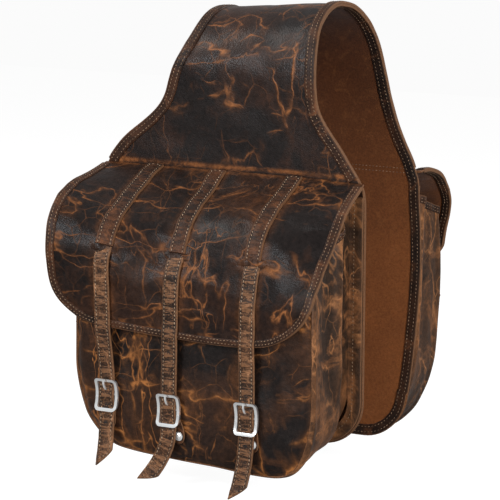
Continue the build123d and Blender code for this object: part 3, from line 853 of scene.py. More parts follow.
# ------------------------------------------------------------------ flap surfaces
# "down" is the distance down the flap from its sewn line.
FLAP_LENGTH = 290.0
FLAP_HALF = 163.0
FLAP_CORNER = 62.0
FLAP_STRAIGHT = FLAP_LENGTH - FLAP_CORNER      # where the corners begin
PROFILE_COUNT = 120
BAND_DROPS = [21.0, 11.5, 14.0]     # how far each band sits below BAND_LINE
# across: [(out, up), ...] from the sewn line to the hem
FLAP_PROFILES = {
    "front": {
        -163: [(1.5, 302), (20, 299.5), (47, 293), (70, 289.5), (87, 285), (104, 278), (117, 269),
               (126, 259), (131, 248), (134, 236), (134, 224), (131, 205), (128, 190), (125, 165),
               (123, 140)],
        -96: [(1.5, 302), (20, 297), (45, 285), (75, 272), (100, 259), (118, 244), (127, 229),
              (131, 212), (131, 187), (129, 161), (126, 138)],
        -16: [(1.5, 302), (12, 296), (27, 286), (54, 275), (74, 264), (89, 249), (97, 236),
              (104, 221), (111, 207), (117, 191), (120, 167), (120, 148), (119, 131)],
        80: [(1.5, 302), (15, 295), (36, 286), (66, 274), (88, 260), (99, 245), (107, 228),
             (112, 209), (117, 189), (121, 165), (120, 131)],
        163: [(1.5, 300), (10, 297), (25, 290), (46, 277), (58, 261), (68, 244), (82, 229),
              (96, 215), (110, 202), (123, 190), (128, 170), (130, 148)],
    },
    "rear": {
        -163: [(1.5, 303), (15, 305.5), (31, 307), (55, 304), (75, 297), (92, 285), (104, 270),
               (111, 255), (114, 240), (115, 215), (115, 190), (115, 165), (115, 142)],
        -96: [(1.5, 302), (20, 300), (45, 292), (75, 280), (100, 265), (117, 247), (125, 229),
              (128, 212), (128, 187), (127, 161), (126, 138)],
        -16: [(1.5, 302), (12, 298), (27, 291), (54, 281), (76, 269), (93, 254), (105, 238),
              (112, 221), (116, 207), (119, 191), (121, 167), (121, 148), (120, 131)],
        80: [(1.5, 302), (15, 296), (36, 288), (66, 276), (88, 262), (101, 246), (109, 228),
             (114, 209), (118, 189), (121, 165), (120, 131)],
        163: [(1.5, 300), (10, 297), (25, 291), (46, 281), (62, 268), (76, 254), (90, 238),
              (102, 222), (113, 206), (121, 190), (125, 170), (126, 148)],
    },
}
# the bands are placed from where the front flap's middle passes a height of 228
middle_up = resample(FLAP_PROFILES["front"][-16], PROFILE_COUNT)[:, 1]
BAND_LINE = int(np.argmin(np.abs(middle_up - 228))) / (PROFILE_COUNT - 1.0) * FLAP_LENGTH
BANDS_DOWN = [BAND_LINE + drop for drop in BAND_DROPS]


def flap_relief(x, down, rear):
    """Waves, creases pulled out of the bands and dents, as height over the profile."""
    free = smoothstep(0, 30, down)
    relief = fractal(x * 0.013, down * 0.016, 7 if rear else 0, octaves=2, seed=21) * 2.6 * free
    relief = relief + fractal(x * 0.05, down * 0.05, 0, octaves=2, seed=33) * 0.8 * free
    dents = np.abs(noise3(x * 0.035 + 3, down * 0.03, 0, seed=5)) ** 0.5
    relief = relief - 1.5 * dents * free * smoothstep(60, 110, down)
    for strap_x, band_down in zip(STRAP_X, BANDS_DOWN):
        dx, dy = x - strap_x, down - band_down
        radius = np.hypot(dx, dy * 1.3)
        rays = noise3(np.arctan2(dy, dx) * 2.6, radius * 0.02, strap_x, seed=15)
        relief = relief + (0.75 * bell(radius, 24, 18.0) * rays
                           * smoothstep(9, 16, np.abs(dx)))
    # puckering between the seam and the flap
    relief = relief + 1.1 * bell(down, 16, 12.0) * noise3(x * 0.07, down * 0.01, 0, seed=12)
    # cushion-like belly between the +across strap and the drooping end
    belly = 2.0 if rear else 5.0
    return relief + belly * bell(x, 122, 30.0) * bell(down, 165, 55.0)


def flap_surface(side):
    rear = side == "rear"
    profiles = FLAP_PROFILES[side]
    stations = sorted(profiles)
    tables = [resample(profiles[x], PROFILE_COUNT) for x in stations]
    shares = np.linspace(0, 1, PROFILE_COUNT)

    def profile(x, down):
        share = down / FLAP_LENGTH
        clipped = np.clip(share, 0, 1)
        out, up = (hermite(stations, [np.interp(clipped, shares, table[:, k])
                                      for table in tables], x) for k in (0, 1))
        # past the hem, run on straight
        return out, up - np.maximum(share - 1, 0) * FLAP_LENGTH

    def place(x, down):
        out, up = profile(x, down)
        out_after, up_after = profile(x, down + 1.5)
        out_before, up_before = profile(x, down - 1.5)
        step_out, step_up = out_after - out_before, up_after - up_before
        length = np.maximum(np.hypot(step_out, step_up), 1e-6)
        relief = flap_relief(x, down, rear)
        if rear:
            pull = 9.0 * smoothstep(130, 210, down) + 16.0 * smoothstep(205, 240, down)
            shifted = x + smoothstep(60, 163, -x) * pull
        else:
            shifted = x - 5.0 * smoothstep(100, 160, -x) * smoothstep(25, 95, down)
        return to_frame(shifted, out - step_up / length * relief,
                        up + step_out / length * relief, rear)
    return oriented(place, step=0.6, probe=(0.0, 150.0))


def flap_half(down):
    """Half width of the flap, with its rounded corners."""
    width = FLAP_HALF - 3.0 * smoothstep(40, 200, down)
    share = np.clip((down - FLAP_STRAIGHT) / FLAP_CORNER, 0, 1)
    return width - FLAP_CORNER + FLAP_CORNER * np.sqrt(np.maximum(1 - share ** 2, 0))


def flap_wear(x, down):
    """Rub-through near the bands, beside the straps, along the bend and in a few streaks."""
    wear = 0.0 * x
    for strap_x, band_down in zip(STRAP_X, BANDS_DOWN):
        radius = np.hypot((x - strap_x) * 0.9, (down - band_down) * 1.4)
        wear = wear + 0.42 * bell(radius, 0, 15.0)
        wear = wear + 0.35 * bell(np.abs(x - strap_x), 11, 4.0) * smoothstep(0, 8, down)
    wear = wear + 0.75 * bell(down, 3, 3.5)
    streaks = fractal(x * 0.02, down * 0.014, 0, octaves=3, seed=77)
    return np.clip(wear + 0.30 * smoothstep(0.35, 0.8, streaks), 0, 1)


# ------------------------------------------------------------------ pouch outlines
# (across, up) from the mouth on the -across side, round the bottom, to the other mouth
OUTLINE_COUNTS = [44, 26, 44, 26, 44]
# height of the panel's and the back's outline at the -across and +across mouth
PANEL_MOUTH = {"front": (244.0, 200.0), "rear": (258.0, 224.0)}
BACK_MOUTH = {"front": (272.0, 284.0), "rear": (279.0, 272.0)}
# heights, then {across: how far out the front panel stands at each}
PANEL_HEIGHTS = [-25, 0, 30, 60, 100, 150, 180, 200, 215, 230, 245, 290]
PANEL_OUT = {
    "front": {
        -152: [102, 107, 109, 110, 111, 112, 112, 111, 110, 109, 107, 104],
        -96: [106, 111, 113, 113, 114, 114, 114, 113, 112, 110, 106, 102],
        -16: [107, 113, 115, 115, 114, 112, 109, 103, 97, 91, 84, 78],
        80: [107, 112, 113, 114, 113, 113, 108, 103, 98, 91, 82, 74],
        152: [104, 109, 110, 110, 110, 109, 106, 98, 88, 78, 66, 60],
    },
    "rear": {
        -152: [101, 106, 108, 111, 118, 121, 118, 114, 110, 105, 100, 91],
        -96: [105, 110, 113, 113, 115, 115, 114, 113, 111, 107, 102, 96],
        -16: [107, 113, 115, 115, 114, 113, 111, 108, 104, 99, 92, 88],
        80: [107, 112, 113, 114, 113, 113, 110, 106, 101, 95, 88, 84],
        152: [103, 108, 110, 110, 110, 109, 106, 100, 92, 84, 76, 70],
    },
}


def outline(parts, passes):
    """Join the parts, each with its own number of points, and smooth the result."""
    pieces = []
    for part, count in zip(parts, OUTLINE_COUNTS):
        part = np.asarray(part, float)
        run = run_lengths(part)
        pieces.append(interp_rows(np.linspace(0, run[-1], count, endpoint=False), run, part))
    curve = np.vstack(pieces + [np.asarray(parts[-1][-1], float)[None]])
    for _ in range(passes):
        curve[1:-1] = 0.25 * curve[:-2] + 0.5 * curve[1:-1] + 0.25 * curve[2:]
    return curve


def panel_outline(low_mouth, high_mouth):
    return outline([
        [(-143, low_mouth), (-143, 140), (-143.5, 109), (-144, 83)],
        [(-144, 83), (-140, 60), (-130, 28), (-114, 9), (-95, -4)],
        [(-95, -4), (-66, -8), (-9, -12), (36, -14), (64, -17), (85, -18), (105, -18)],
        [(105, -18), (121, -14), (132, -5), (140, 8), (146, 26), (150, 45)],
        [(150, 45), (152, 80), (151, 121), (149, 165), (147, high_mouth)],
    ], passes=6)


def back_outline(low_mouth, high_mouth):
    radius, side, bottom = 48, 148, 16
    flat, bend = side - radius, bottom + radius
    return outline([
        [(-side, low_mouth), (-side, bend)],
        arc(-flat, bend, radius, 180, 270),
        [(-flat, bottom), (flat, bottom)],
        arc(flat, bend, radius, 270, 360),
        [(side, bend), (side, high_mouth)],
    ], passes=3)


def panel_out(x, z, side):
    """How far out the front panel stands."""
    table = PANEL_OUT[side]
    stations = sorted(table)
    return hermite(stations, [np.interp(z, PANEL_HEIGHTS, table[k]) for k in stations], x)


def near_fittings(x, z):
    near = 0.0 * x
    for strap_x, bar_z in zip(STRAP_X, BAR_Z):
        near = np.maximum(near, bell(x, strap_x, 24.0) * np.exp(-((z - bar_z + 12) / 42.0) ** 4))
    return near


def distance_to(curve, x, z):
    distance = np.full(x.shape, 1e9)
    for (start_x, start_z), (end_x, end_z) in zip(curve[:-1], curve[1:]):
        dx, dz = end_x - start_x, end_z - start_z
        share = ((x - start_x) * dx + (z - start_z) * dz) / max(dx * dx + dz * dz, 1e-9)
        share = np.clip(share, 0, 1)
        distance = np.minimum(distance,
                              np.hypot(x - start_x - share * dx, z - start_z - share * dz))
    return distance


# ------------------------------------------------------------------ one half of the bag
class Half:
    """What the pieces of one half share."""

    def __init__(self, side):
        self.side = side
        self.rear = side == "rear"
        self.tag = side + "_"
        self.bag, self.flap_body = side + "_bag", side + "_flap"
        self.flap = flap_surface(side)
        self.panel = panel_outline(*PANEL_MOUTH[side])
        if self.rear:       # the -across side bulges
            self.panel[:, 0] -= (7.5 * smoothstep(60, 150, -self.panel[:, 0])
                                 * (0.55 + 0.45 * smoothstep(10, 70, self.panel[:, 1])))
        self.panel = self.dropped(self.panel)

    def dropped(self, curve):
        """Lower the bottom of the rear half's outlines."""
        drop = REAR_DROP if self.rear else 0.0
        return columns(curve[:, 0],
                       curve[:, 1] - drop * (1 - np.clip(curve[:, 1] / 280.0, 0, 1)))

    def place(self, across, out, up):
        return to_frame(across, out, up, self.rear)

    def on_flap(self, ob):
        """Bake the piece's placement into its mesh."""
        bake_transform(ob)

    def back(self, across, up):
        """Surface of the back panel's outer face."""
        spots = self.place(across, 0.0, up)
        return spots, self.place(across, 1.0, up) - spots


def flap_perimeter():
    """Down the +across edge, along the hem and up the other edge."""
    down = np.linspace(10, FLAP_STRAIGHT, 60)
    angle = np.linspace(0, math.pi / 2, 22)[1:]
    flat = flap_half(FLAP_STRAIGHT) - FLAP_CORNER
    edge = np.concatenate([
        columns(flap_half(down), down),
        columns(flat + FLAP_CORNER * np.cos(angle), FLAP_STRAIGHT + FLAP_CORNER * np.sin(angle))])
    hem = columns(np.linspace(flat, -flat, 60)[1:-1], FLAP_LENGTH)
    return np.vstack([edge, hem, edge[::-1] * np.array([-1, 1])])


def build_flap(half):
    """The flap hide, bent over its sewn line, with its outer and inner edge strips."""
    rows = np.concatenate([
        np.linspace(0, 24, 9)[:-1], np.arange(24, FLAP_STRAIGHT, 2.6),
        FLAP_STRAIGHT + FLAP_CORNER * np.sin(np.linspace(0, math.pi / 2, 26))])
    width = flap_half(rows)[:, None]
    x = np.linspace(-1, 1, 141)[None, :] * width
    down = np.broadcast_to(rows[:, None], x.shape)
    outer, normals = half.flap(x, down)
    edge = np.minimum(width - np.abs(x), FLAP_LENGTH - down) + 3.0
    hide = sheet(half.tag + "flap_hide", outer, normals, FLAP_THICK, BODY, edge,
                 flap_wear(x, down))
    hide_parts(half.tag + "flap")

    path = flap_perimeter()
    inward = left_normals(path)
    section = [(-0.6, -1.6), (-1.0, -0.2), (-0.6, 0.9), (0.8, 1.35), (4.5, 1.35), (8.2, 1.25),
               (9.3, 0.8), (9.5, -0.1)]
    binding = sweep(half.tag + "flap_edge", half.flap, path, inward, section, BINDING, wear=0.35)
    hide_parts(half.tag + "flap_binding")
    inner = underside(half.flap, FLAP_THICK)
    section = [(-0.6, -1.5), (-0.9, 0.1), (-0.4, 0.9), (0.8, 1.2), (5.0, 1.2), (9.6, 1.1),
               (10.6, 0.8), (10.8, -0.1)]
    strip = sweep(half.tag + "flap_inner_strip", inner, path, inward, section, BINDING,
                  wear=0.10)
    for ob in (hide, binding, strip):
        half.on_flap(ob)
    half.on_flap(stitches(half.tag + "flap_edge_stitches", [
        (half.flap, path + inward * 2.8, 1.35), (half.flap, path + inward * 7.4, 1.3),
        (inner, path + inward * 3.0, 1.2), (inner, path + inward * 7.6, 1.15)], THREAD_DARK))


# (across, height) of a strap sewn to the flap
UPPER_SECTION = [
    (-STRAP_HALF, -0.6), (-STRAP_HALF - 0.15, 0.9), (-STRAP_HALF + 0.4, 2.5),
    (-STRAP_HALF + 1.3, 2.95), (-7.2, 2.75), (-6.0, 2.55), (-4.4, 2.85), (0, 3.0), (4.4, 2.85),
    (6.0, 2.55), (7.2, 2.75), (STRAP_HALF - 1.3, 2.95), (STRAP_HALF - 0.4, 2.5),
    (STRAP_HALF + 0.15, 0.9), (STRAP_HALF, -0.6), (0, -0.8)]
# (down, height) of a band over a strap's end
BAND_SECTION = np.array([
    (-5.4, -0.5), (-4.8, 0.55), (-3.2, 0.95), (0, 1.05), (3.2, 0.95), (4.8, 0.55), (5.4, -0.5),
    (3.5, -0.7), (-3.5, -0.7)])


def build_upper_strap(half, i):
    """Strap sewn to the flap, down to its band; returns its stitch rows."""
    x, band_down = STRAP_X[i], BANDS_DOWN[i]
    down = np.linspace(2.5, band_down - 4.6, 70)
    path = columns(x, down)
    wear = 0.25 + 0.6 * bell(down, band_down, 18.0) + 0.4 * bell(down, 0, 9.0)
    ob = sweep(half.tag + "strap_upper_%d" % (i + 1), half.flap, path, (1.0, 0.0),
               UPPER_SECTION, UPPER, wear, both_edges=True)
    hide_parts(half.tag + "strap_%d" % (i + 1))
    half.on_flap(ob)
    height = 2.75
    rows = [(half.flap, path[1:] + np.array([dx, 0.0]), height) for dx in (-SEAM, SEAM)]
    return rows + [(half.flap, columns(np.linspace(x - 6, x + 6, 8), 5.0), height)]


def build_band(half, i):
    """Band of flap leather that covers the end of a sewn strap."""
    offset = np.linspace(-17.0, 17.0, 35)[:, None]
    lift = 1.7 * smoothstep(-16.5, -8.0, offset) * (1 - smoothstep(8.0, 16.5, offset)) - 1.0
    x = STRAP_X[i] + np.repeat(offset, len(BAND_SECTION), 1)
    uneven = 1.0 + 0.10 * noise3(x * 0.16, 0, i, seed=31)
    down = BANDS_DOWN[i] + BAND_SECTION[:, 0] * uneven
    spots, normals = half.flap(x, down)
    height = lift + BAND_SECTION[:, 1] + 0.35 * noise3(x * 0.35, down * 0.3, 0, seed=32)
    middle = len(offset) // 2
    ob = tube(half.tag + "band_%d" % (i + 1), spots + normals * height[..., None], (middle, 3),
              normals[middle, 3], BODY, dict(edge=9.0, wear=0.30, along=0.0, across=0.0))
    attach(ob, half.flap_body)


def build_pouch_panel(half):
    """Front panel: its outline below, a level top edge, and a smooth patch between."""
    curve = half.panel
    skip = 30       # outline points at each end that form the sides of the grid
    bottom = curve[skip:-skip]
    x = np.linspace(-148, 147, len(bottom))
    x = x * 0.55 + 0.45 * (np.sign(x) * 148 * np.sin(np.abs(x) / 148 * math.pi / 2))
    low_mouth, high_mouth = PANEL_MOUTH[half.side]
    top = columns(x, np.interp((x + 148) / 295.0, [0, 0.25, 0.5, 0.7, 1.0],
                               [low_mouth, 243, 240, 232, high_mouth]))
    rows = 56
    up_share = np.linspace(0, 1, rows) ** 1.12
    low_side, high_side = (
        interp_rows(up_share, np.linspace(0, 1, len(side)), side)[:, None]
        for side in (curve[:skip + 1][::-1], curve[-skip - 1:]))
    v = up_share[:, None, None]
    u = np.linspace(0, 1, len(bottom))[None, :, None]
    grid = ((1 - v) * bottom + v * top + (1 - u) * low_side + u * high_side
            - (1 - v) * ((1 - u) * bottom[0] + u * bottom[-1])
            - v * ((1 - u) * top[0] + u * top[-1]))
    x, z = grid[..., 0], grid[..., 1]

    seam = distance_to(curve, x, z)
    quiet = 1 - near_fittings(x, z)
    waves = (fractal(x * 0.014, z * 0.012, 5 if half.rear else 1, octaves=2, seed=41) * 2.4
             + fractal(x * 0.05, z * 0.04, 0, octaves=2, seed=42) * 0.8)
    creases = -1.6 * np.abs(noise3(x * 0.03 + 9, z * 0.022, 0, seed=45)) ** 0.6
    out = panel_out(x, z, half.side) - 5.5 * bell(seam, 0, 6.5)     # rolled in at the seam
    out = out + (waves + creases) * quiet * smoothstep(0, 14, seam) - 1.6 * quiet
    outer = half.place(x, out, z)
    normals = grid_normals(outer, rows // 2, len(bottom) // 2,
                           (0.0, 1.0 if half.rear else -1.0, 0.0))
    streaks = fractal(x * 0.018, z * 0.012, 0, octaves=3, seed=90)
    wear = 0.30 * bell(seam, 0, 4.0) + 0.40 * smoothstep(0.3, 0.8, streaks)
    ob = sheet(half.tag + "pouch_panel", outer, normals, POUCH_THICK, POUCH, 30.0,
               np.clip(wear, 0, 1))
    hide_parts(half.tag + "pouch_front")
    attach(ob, half.bag)


def build_gusset(half):
    """Pleated gusset between the back (share 0) and the panel (share 1)."""
    panel = half.panel
    back = half.dropped(back_outline(*BACK_MOUTH[half.side]))
    rows, cols = 46, len(panel)
    share = np.linspace(0, 1, rows)[:, None]
    x = (1 - share) * back[:, 0] + share * panel[:, 0]
    z = (1 - share) * back[:, 1] + share * panel[:, 1]
    out = 3.0 + (panel_out(panel[:, 0], panel[:, 1], half.side) - 6.2 - 3.0) * share
    ahead = unit(np.gradient(columns(x, z), axis=1))
    normal_x, normal_z = ahead[..., 1], -ahead[..., 0]      # away from the pouch

    near_mouth = smoothstep(0.50, 0.62, np.abs(np.linspace(-1, 1, cols)))
    pleat = (7.5 * bell(share, 0.36, 0.085) - 3.5 * bell(share, 0.62, 0.12)
             - 3.0 * bell(share, 0.14, 0.10))
    waves = (fractal(out * 0.03, z * 0.012, x * 0.01, octaves=3, seed=61) * 2.6
             + fractal(out * 0.08, z * 0.03, x * 0.02, octaves=2, seed=62) * 1.0)
    swell = np.sin(np.pi * share)
    puff = pleat * (0.35 + 0.65 * near_mouth)
    puff = puff + (waves * swell ** 0.5 * smoothstep(0, 0.1, share)
                   * (1 - smoothstep(0.92, 1.0, share)))
    # turned seam ridge
    puff = puff + 2.6 * smoothstep(0.86, 0.955, share) * (1 - smoothstep(0.965, 1.0, share))
    # fuller at the two bottom corners
    column = np.arange(cols)
    puff = puff + 9.0 * swell ** 0.8 * (bell(column, 128, 13.0) + 0.6 * bell(column, 57, 13.0))
    x_out, z_out = x + normal_x * puff, z + normal_z * puff
    outer = half.place(x_out, out, z_out)
    outward = half.place(x_out + normal_x, out, z_out + normal_z) - outer
    normals = grid_normals(outer, rows // 2, 10, outward[rows // 2, 10])
    streaks = fractal(out * 0.03, z * 0.008, 0, octaves=3, seed=91)
    wear = (0.45 * bell(share, 0.36, 0.06) + 0.3 * smoothstep(0.8, 1.0, share)
            + 0.6 * smoothstep(0.2, 0.7, streaks))
    ob = sheet(half.tag + "gusset_hide", outer, normals, POUCH_THICK, SIDE, 30.0,
               np.clip(wear, 0, 1))
    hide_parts(half.tag + "gusset")
    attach(ob, half.bag)
    return outer, normals


# (distance down, height, distance from the cut edge) round the hem
HEM_SECTION = np.array([
    (-0.6, -2.6, 0), (-0.9, -1.0, 0), (-0.6, 0.9, 0), (0.6, 1.3, 1.5), (5.5, 1.2, 6),
    (8.6, 1.0, 8), (9.0, 0.1, 9), (8.0, -2.6, 9)])


def line_surface(line, normals):
    """Surface along a line of points; only the first coordinate, a point number, matters."""
    numbers = np.arange(len(line))
    return lambda a, b: (interp_rows(a, numbers, line), unit(interp_rows(a, numbers, normals)))


def build_mouth_hems(half, gusset, gusset_normals):
    """Hems at the gusset's mouth on both sides; returns their stitch rows."""
    rows = []
    count, cols = gusset.shape[:2]
    for letter, top_col, low_col in (("a", 0, 5), ("b", cols - 1, cols - 6)):
        top, normals = gusset[:, top_col], gusset_normals[:, top_col]
        down = unit(gusset[:, low_col] - top)
        rings = (top[:, None] + down[:, None] * HEM_SECTION[:, 0:1]
                 + normals[:, None] * HEM_SECTION[:, 1:2])
        ob = tube(half.tag + "mouth_hem_" + letter, rings, (count // 2, 4),
                  normals[count // 2], BINDING,
                  dict(edge=np.tile(HEM_SECTION[:, 2], count), wear=0.4, along=0.0, across=0.0))
        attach(ob, half.bag)
        for offset in (3.0, 6.6):
            line = line_surface(top + down * offset + normals * 1.2, normals)
            rows.append((line, columns(np.linspace(1, count - 2, 40), 0.0), 0.0))
    return rows


def build_sewn_margin(half):
    """Turned-out margin sewn to the back panel, all round; returns its stitch row."""
    side = HALF_WIDTH - 1.5
    radius = BACK_CORNER
    bottom = 1.5
    flat, bend = side - radius, bottom + radius
    path = half.dropped(np.vstack([
        columns(side, np.linspace(285, 52, 50)),
        np.array(arc(flat, bend, radius, 0, -90, 20))[1:],
        columns(np.linspace(flat, -flat, 40)[1:], bottom),
        np.array(arc(-flat, bend, radius, -90, -180, 20))[1:],
        columns(-side, np.linspace(52, 285, 50)[1:])]))
    inward = -left_normals(path)
    section = [(-0.4, 0.25), (-0.8, 1.2), (-0.3, 2.2), (1.0, 2.7), (7.0, 2.7), (13.0, 2.9),
               (14.6, 3.6), (15.4, 3.0), (15.2, 0.25)]
    ob = sweep(half.tag + "sewn_margin", half.back, path, inward, section, SIDE, wear=0.2)
    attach(ob, half.bag)
    return [(half.back, path + inward * 9.5, 2.75)]


# ------------------------------------------------------------------ loose straps and chapes
# (across, up, out) of each loose strap's tip
STRAP_TIPS = {
    "front": [(-94, -22, 133), (-43, -36, 133), (73, -41, 133)],
    "rear": [(-101, 2, 124), (-38, -7, 124), (70, -11, 124)],
}
BEND_HEIGHTS = [38.0, 24.0, 26.0]   # below these the straps curl outwards
TIP_LENGTH = 19.0
HOLE_PITCH = 19.0
HOLE_SIDES = 14
HOLE_RINGS = ((2.1, 2.45), (1.75, 2.72), (1.35, 2.66), (1.2, 2.35))     # (radius, height)
CHAPE_SHIFTS = [2.0, 11.0, 6.0]     # how far across each chape's stud end is carried
CHAPE_WIDTH = 8.6                   # half width used for the surface pattern
# (share of the half width, height)
LOOSE_SECTION = np.array([
    (-1, 0.1), (-1.015, 1.1), (-0.96, 2.2), (-0.87, 2.62), (-0.76, 2.5), (-0.65, 2.3),
    (-0.48, 2.6), (0, 2.75), (0.48, 2.6), (0.65, 2.3), (0.76, 2.5), (0.87, 2.62), (0.96, 2.2),
    (1.015, 1.1), (1, 0.1), (0, 0.0)])
CHAPE_SECTION = np.array([
    (-1, -0.6), (-1.02, 0), (-0.94, 0.62), (0, 0.68), (0.94, 0.62), (1.02, 0), (1, -0.6),
    (0, -0.68)])


class Ribbon:
    """A strip's centre line in half-local millimetres, with its side and face directions."""

    def __init__(self, spots, count, probe):
        self.centre = resample(spots, count)
        ahead = unit(np.gradient(self.centre, axis=0))
        self.across = unit(np.array([1.0, 0.0, 0.0]) - ahead * ahead[:, :1])
        self.face = unit(np.cross(ahead, self.across))
        if self.face[probe, 1] < 0:     # the face at probe looks out
            self.face = -self.face
        self.run = run_lengths(self.centre)
        self.length = self.run[-1]

    def surface(self, half):
        def strip(across, run):
            across, run = np.broadcast_arrays(np.asarray(across, float), np.asarray(run, float))
            centre, side, face = (interp_rows(run, self.run, rows)
                                  for rows in (self.centre, self.across, self.face))
            local = centre + side * across[..., None]
            raised = local + unit(face)
            spots = half.place(*np.moveaxis(local, -1, 0))
            return spots, unit(half.place(*np.moveaxis(raised, -1, 0)) - spots)
        return strip


def panel_line(x):
    """How far out the fittings' ground lies behind a strap."""
    return 110 + 6 * (1 - (x / 150.0) ** 2) + 0.5


def loose_line(half, i):
    """Loose strap: from under the band, over the hem, through the buckle, to the tip."""
    x, bar_z, band_down = STRAP_X[i], BAR_Z[i], BANDS_DOWN[i]
    ground = panel_line(x)
    spots = []
    downs = [band_down - 1.0, band_down + 3.0, band_down + 8.0]
    for down in downs + list(np.linspace(band_down + 16, FLAP_LENGTH - 3, 8)):
        spot = half.flap(np.array([x]), np.array([float(down)]))[0][0]
        y, z = rotate(-spot[1] if half.rear else spot[1], spot[2], -SWING)
        out, up = -y - GAP, z + CROWN
        if down < band_down + 10:
            lift = -2.3 if down < band_down + 4 else -0.6
        else:
            lift = 1.0 if down < FLAP_LENGTH - 14 else 2.2
        spots.append((x, out + lift, up))
    # from the hem, where the loop ended, to the panel
    spots.append((x, out + 1.6, up - 8))
    spots.append((x, max(0.55 * out + 0.45 * (ground + 4.3), ground + 3.2),
                  0.5 * (up - 8 + bar_z + 25)))
    # over the buckle bar: (height over the ground, height over the bar)
    for out, up in ((4.3, 25), (4.1, 13), (6.5, 3.6), (6.5, -3.6), (4.1, -13), (4.3, -20),
                    (5.7, -27)):
        spots.append((x, ground + out, bar_z + up))
    tip_x, tip_z, tip_out = STRAP_TIPS[half.side][i]
    start_out = ground + 6.0
    start_z = min(BEND_HEIGHTS[i], bar_z - 30) - 3
    spots.append((x, start_out, start_z))
    for share in (0.25, 0.5, 0.75, 1.0):
        ease = 0.40 * share + 0.60 * share * share
        spots.append((x + (tip_x - x) * ease, start_out + (tip_out - start_out) * share ** 1.8,
                      start_z + (tip_z - start_z) * share))
    return Ribbon(spots, 190, probe=60)


def build_strap_holes(name, surface, middle):
    """Holes drawn as rimmed near-black discs of painted shade, spaced either side of the one at middle."""
    verts, faces = [], []
    angle = np.linspace(0, 2 * np.pi, HOLE_SIDES + 1)[:-1]
    last = (len(HOLE_RINGS) - 1) * HOLE_SIDES
    for k in (-3, -2, -1, 0, 1, 2):
        base = len(verts) * HOLE_SIDES
        run = middle + k * HOLE_PITCH
        for radius, height in HOLE_RINGS:
            spots, normals = surface(radius * np.cos(angle), run + radius * np.sin(angle))
            verts.append(spots + normals * height)
        faces += side_faces(len(HOLE_RINGS), HOLE_SIDES, base).tolist()
        faces.append(range(base + last, base + last + HOLE_SIDES))
        faces.append(range(base, base + HOLE_SIDES)[::-1])
    return build_mesh(name, np.vstack(verts), faces, [HOLE_SHADE], sharp_angle=0)


def build_loose_strap(half, i):
    """Loose strap with its pointed end, stitching and holes."""
    number = str(i + 1)
    body = half.tag + "billet_" + number
    ribbon = loose_line(half, i)
    surface = ribbon.surface(half)
    length = ribbon.length

    def on_billet(ob):
        """Bake the piece's placement into its mesh."""
        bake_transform(ob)

    run = np.concatenate([np.linspace(0, length - 20, 150),
                          np.linspace(length - TIP_LENGTH, length, 12)])
    tip = np.clip((run - (length - TIP_LENGTH)) / TIP_LENGTH, 0, 1)
    # the -across side stays long, the +across side is cut back to the point
    low = STRAP_HALF * (1 - 0.10 * tip ** 3)
    high = STRAP_HALF - (2 * STRAP_HALF - 1.2) * tip ** 1.25
    shares, heights = LOOSE_SECTION.T
    half_width = (high + low)[:, None] / 2
    across = (high - low)[:, None] / 2 + half_width * shares
    along = np.repeat(run[:, None], len(shares), 1)
    cracks = 0.35 * noise3(across * 0.03, along * 0.22, i, seed=71)
    spots, normals = surface(across, along)
    rings = spots + normals * (heights + cracks * (heights > 2.0))[..., None]
    wear = 0.12 + 0.6 * bell(run, 4, 10.0)
    ob = tube(half.tag + "strap_loose_" + number, rings, (75, 5), normals[75, 5], STRAP,
              {"edge": (half_width * (1 - np.abs(shares))).ravel(), "across": across.ravel(),
               "along": along.ravel(), "wear": np.repeat(wear, len(shares))})
    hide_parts(body)
    on_billet(ob)

    # two rows of stitching down the strap and one across the point
    end = length - 16
    down = np.linspace(3, end, 120)
    paths = [columns(-SEAM, down), columns(SEAM, down),
             columns(np.linspace(6.2, -6.2, 12), np.linspace(end + 1, end + 9, 12))]
    rows = [(surface, path, 2.5) for path in paths]
    on_billet(stitches(half.tag + "strap_stitches_" + number, rows, THREAD))
    # needle holes as dark marks of painted shade between the stitches
    on_billet(stitches(half.tag + "strap_needle_holes_" + number, rows, HOLE_SHADE, **NEEDLE_HOLE))
    # the hole the prong uses lies just above the buckle bar
    nearest = int(np.argmin(np.abs(ribbon.centre[:, 2] - (BAR_Z[i] + 6.5))))
    on_billet(build_strap_holes(half.tag + "strap_holes_" + number, surface,
                                ribbon.run[nearest]))


def build_chape(half, i):
    """Leather folded round the buckle's centre bar, carrying the stud cap."""
    x, bar_z = STRAP_X[i], BAR_Z[i]
    ground = panel_line(x)
    spots = [(x, out, up) for out, up in arc(ground + 3.4, bar_z, 2.1, -60, 180, 14)]
    shift = CHAPE_SHIFTS[i]
    # (across, below the bar)
    for dx, below in ((0.0, 6), (shift * 0.25, 12), (shift, 24), (shift, 31), (shift, 39)):
        spots.append((x + dx, ground + 1.35, bar_z - below))
    count = 60
    ribbon = Ribbon(spots, count, probe=-5)
    run, length = ribbon.run, ribbon.length
    # narrower below the bar, with a rounded end
    round_end = 1 - np.clip((run - (length - 8.6)) / 8.8, 0, 1) ** 2
    width = (8.4 - 1.8 * smoothstep(length - 26, length - 12, run)) * np.sqrt(
        np.clip(round_end, 0.02, 1))
    shares = CHAPE_SECTION[:, 0]
    local = (ribbon.centre[:, None]
             + ribbon.across[:, None] * (CHAPE_SECTION[:, 0:1] * width[:, None, None])
             + ribbon.face[:, None] * CHAPE_SECTION[:, 1:2])
    edge = np.clip(CHAPE_WIDTH * (1 - np.abs(shares)), 0, 9)
    ob = tube(half.tag + "chape_leather_%d" % (i + 1), half.place(*np.moveaxis(local, -1, 0)),
              (50, 2), half.place(0, 1, 0) - half.place(0, 0, 0), UPPER,
              {"edge": np.tile(edge, count), "across": np.tile(shares * CHAPE_WIDTH, count),
               "along": np.repeat(run, len(shares)), "wear": 0.3})
    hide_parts(half.tag + "chape_%d" % (i + 1))
    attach(ob, half.tag + "billet_%d" % (i + 1))


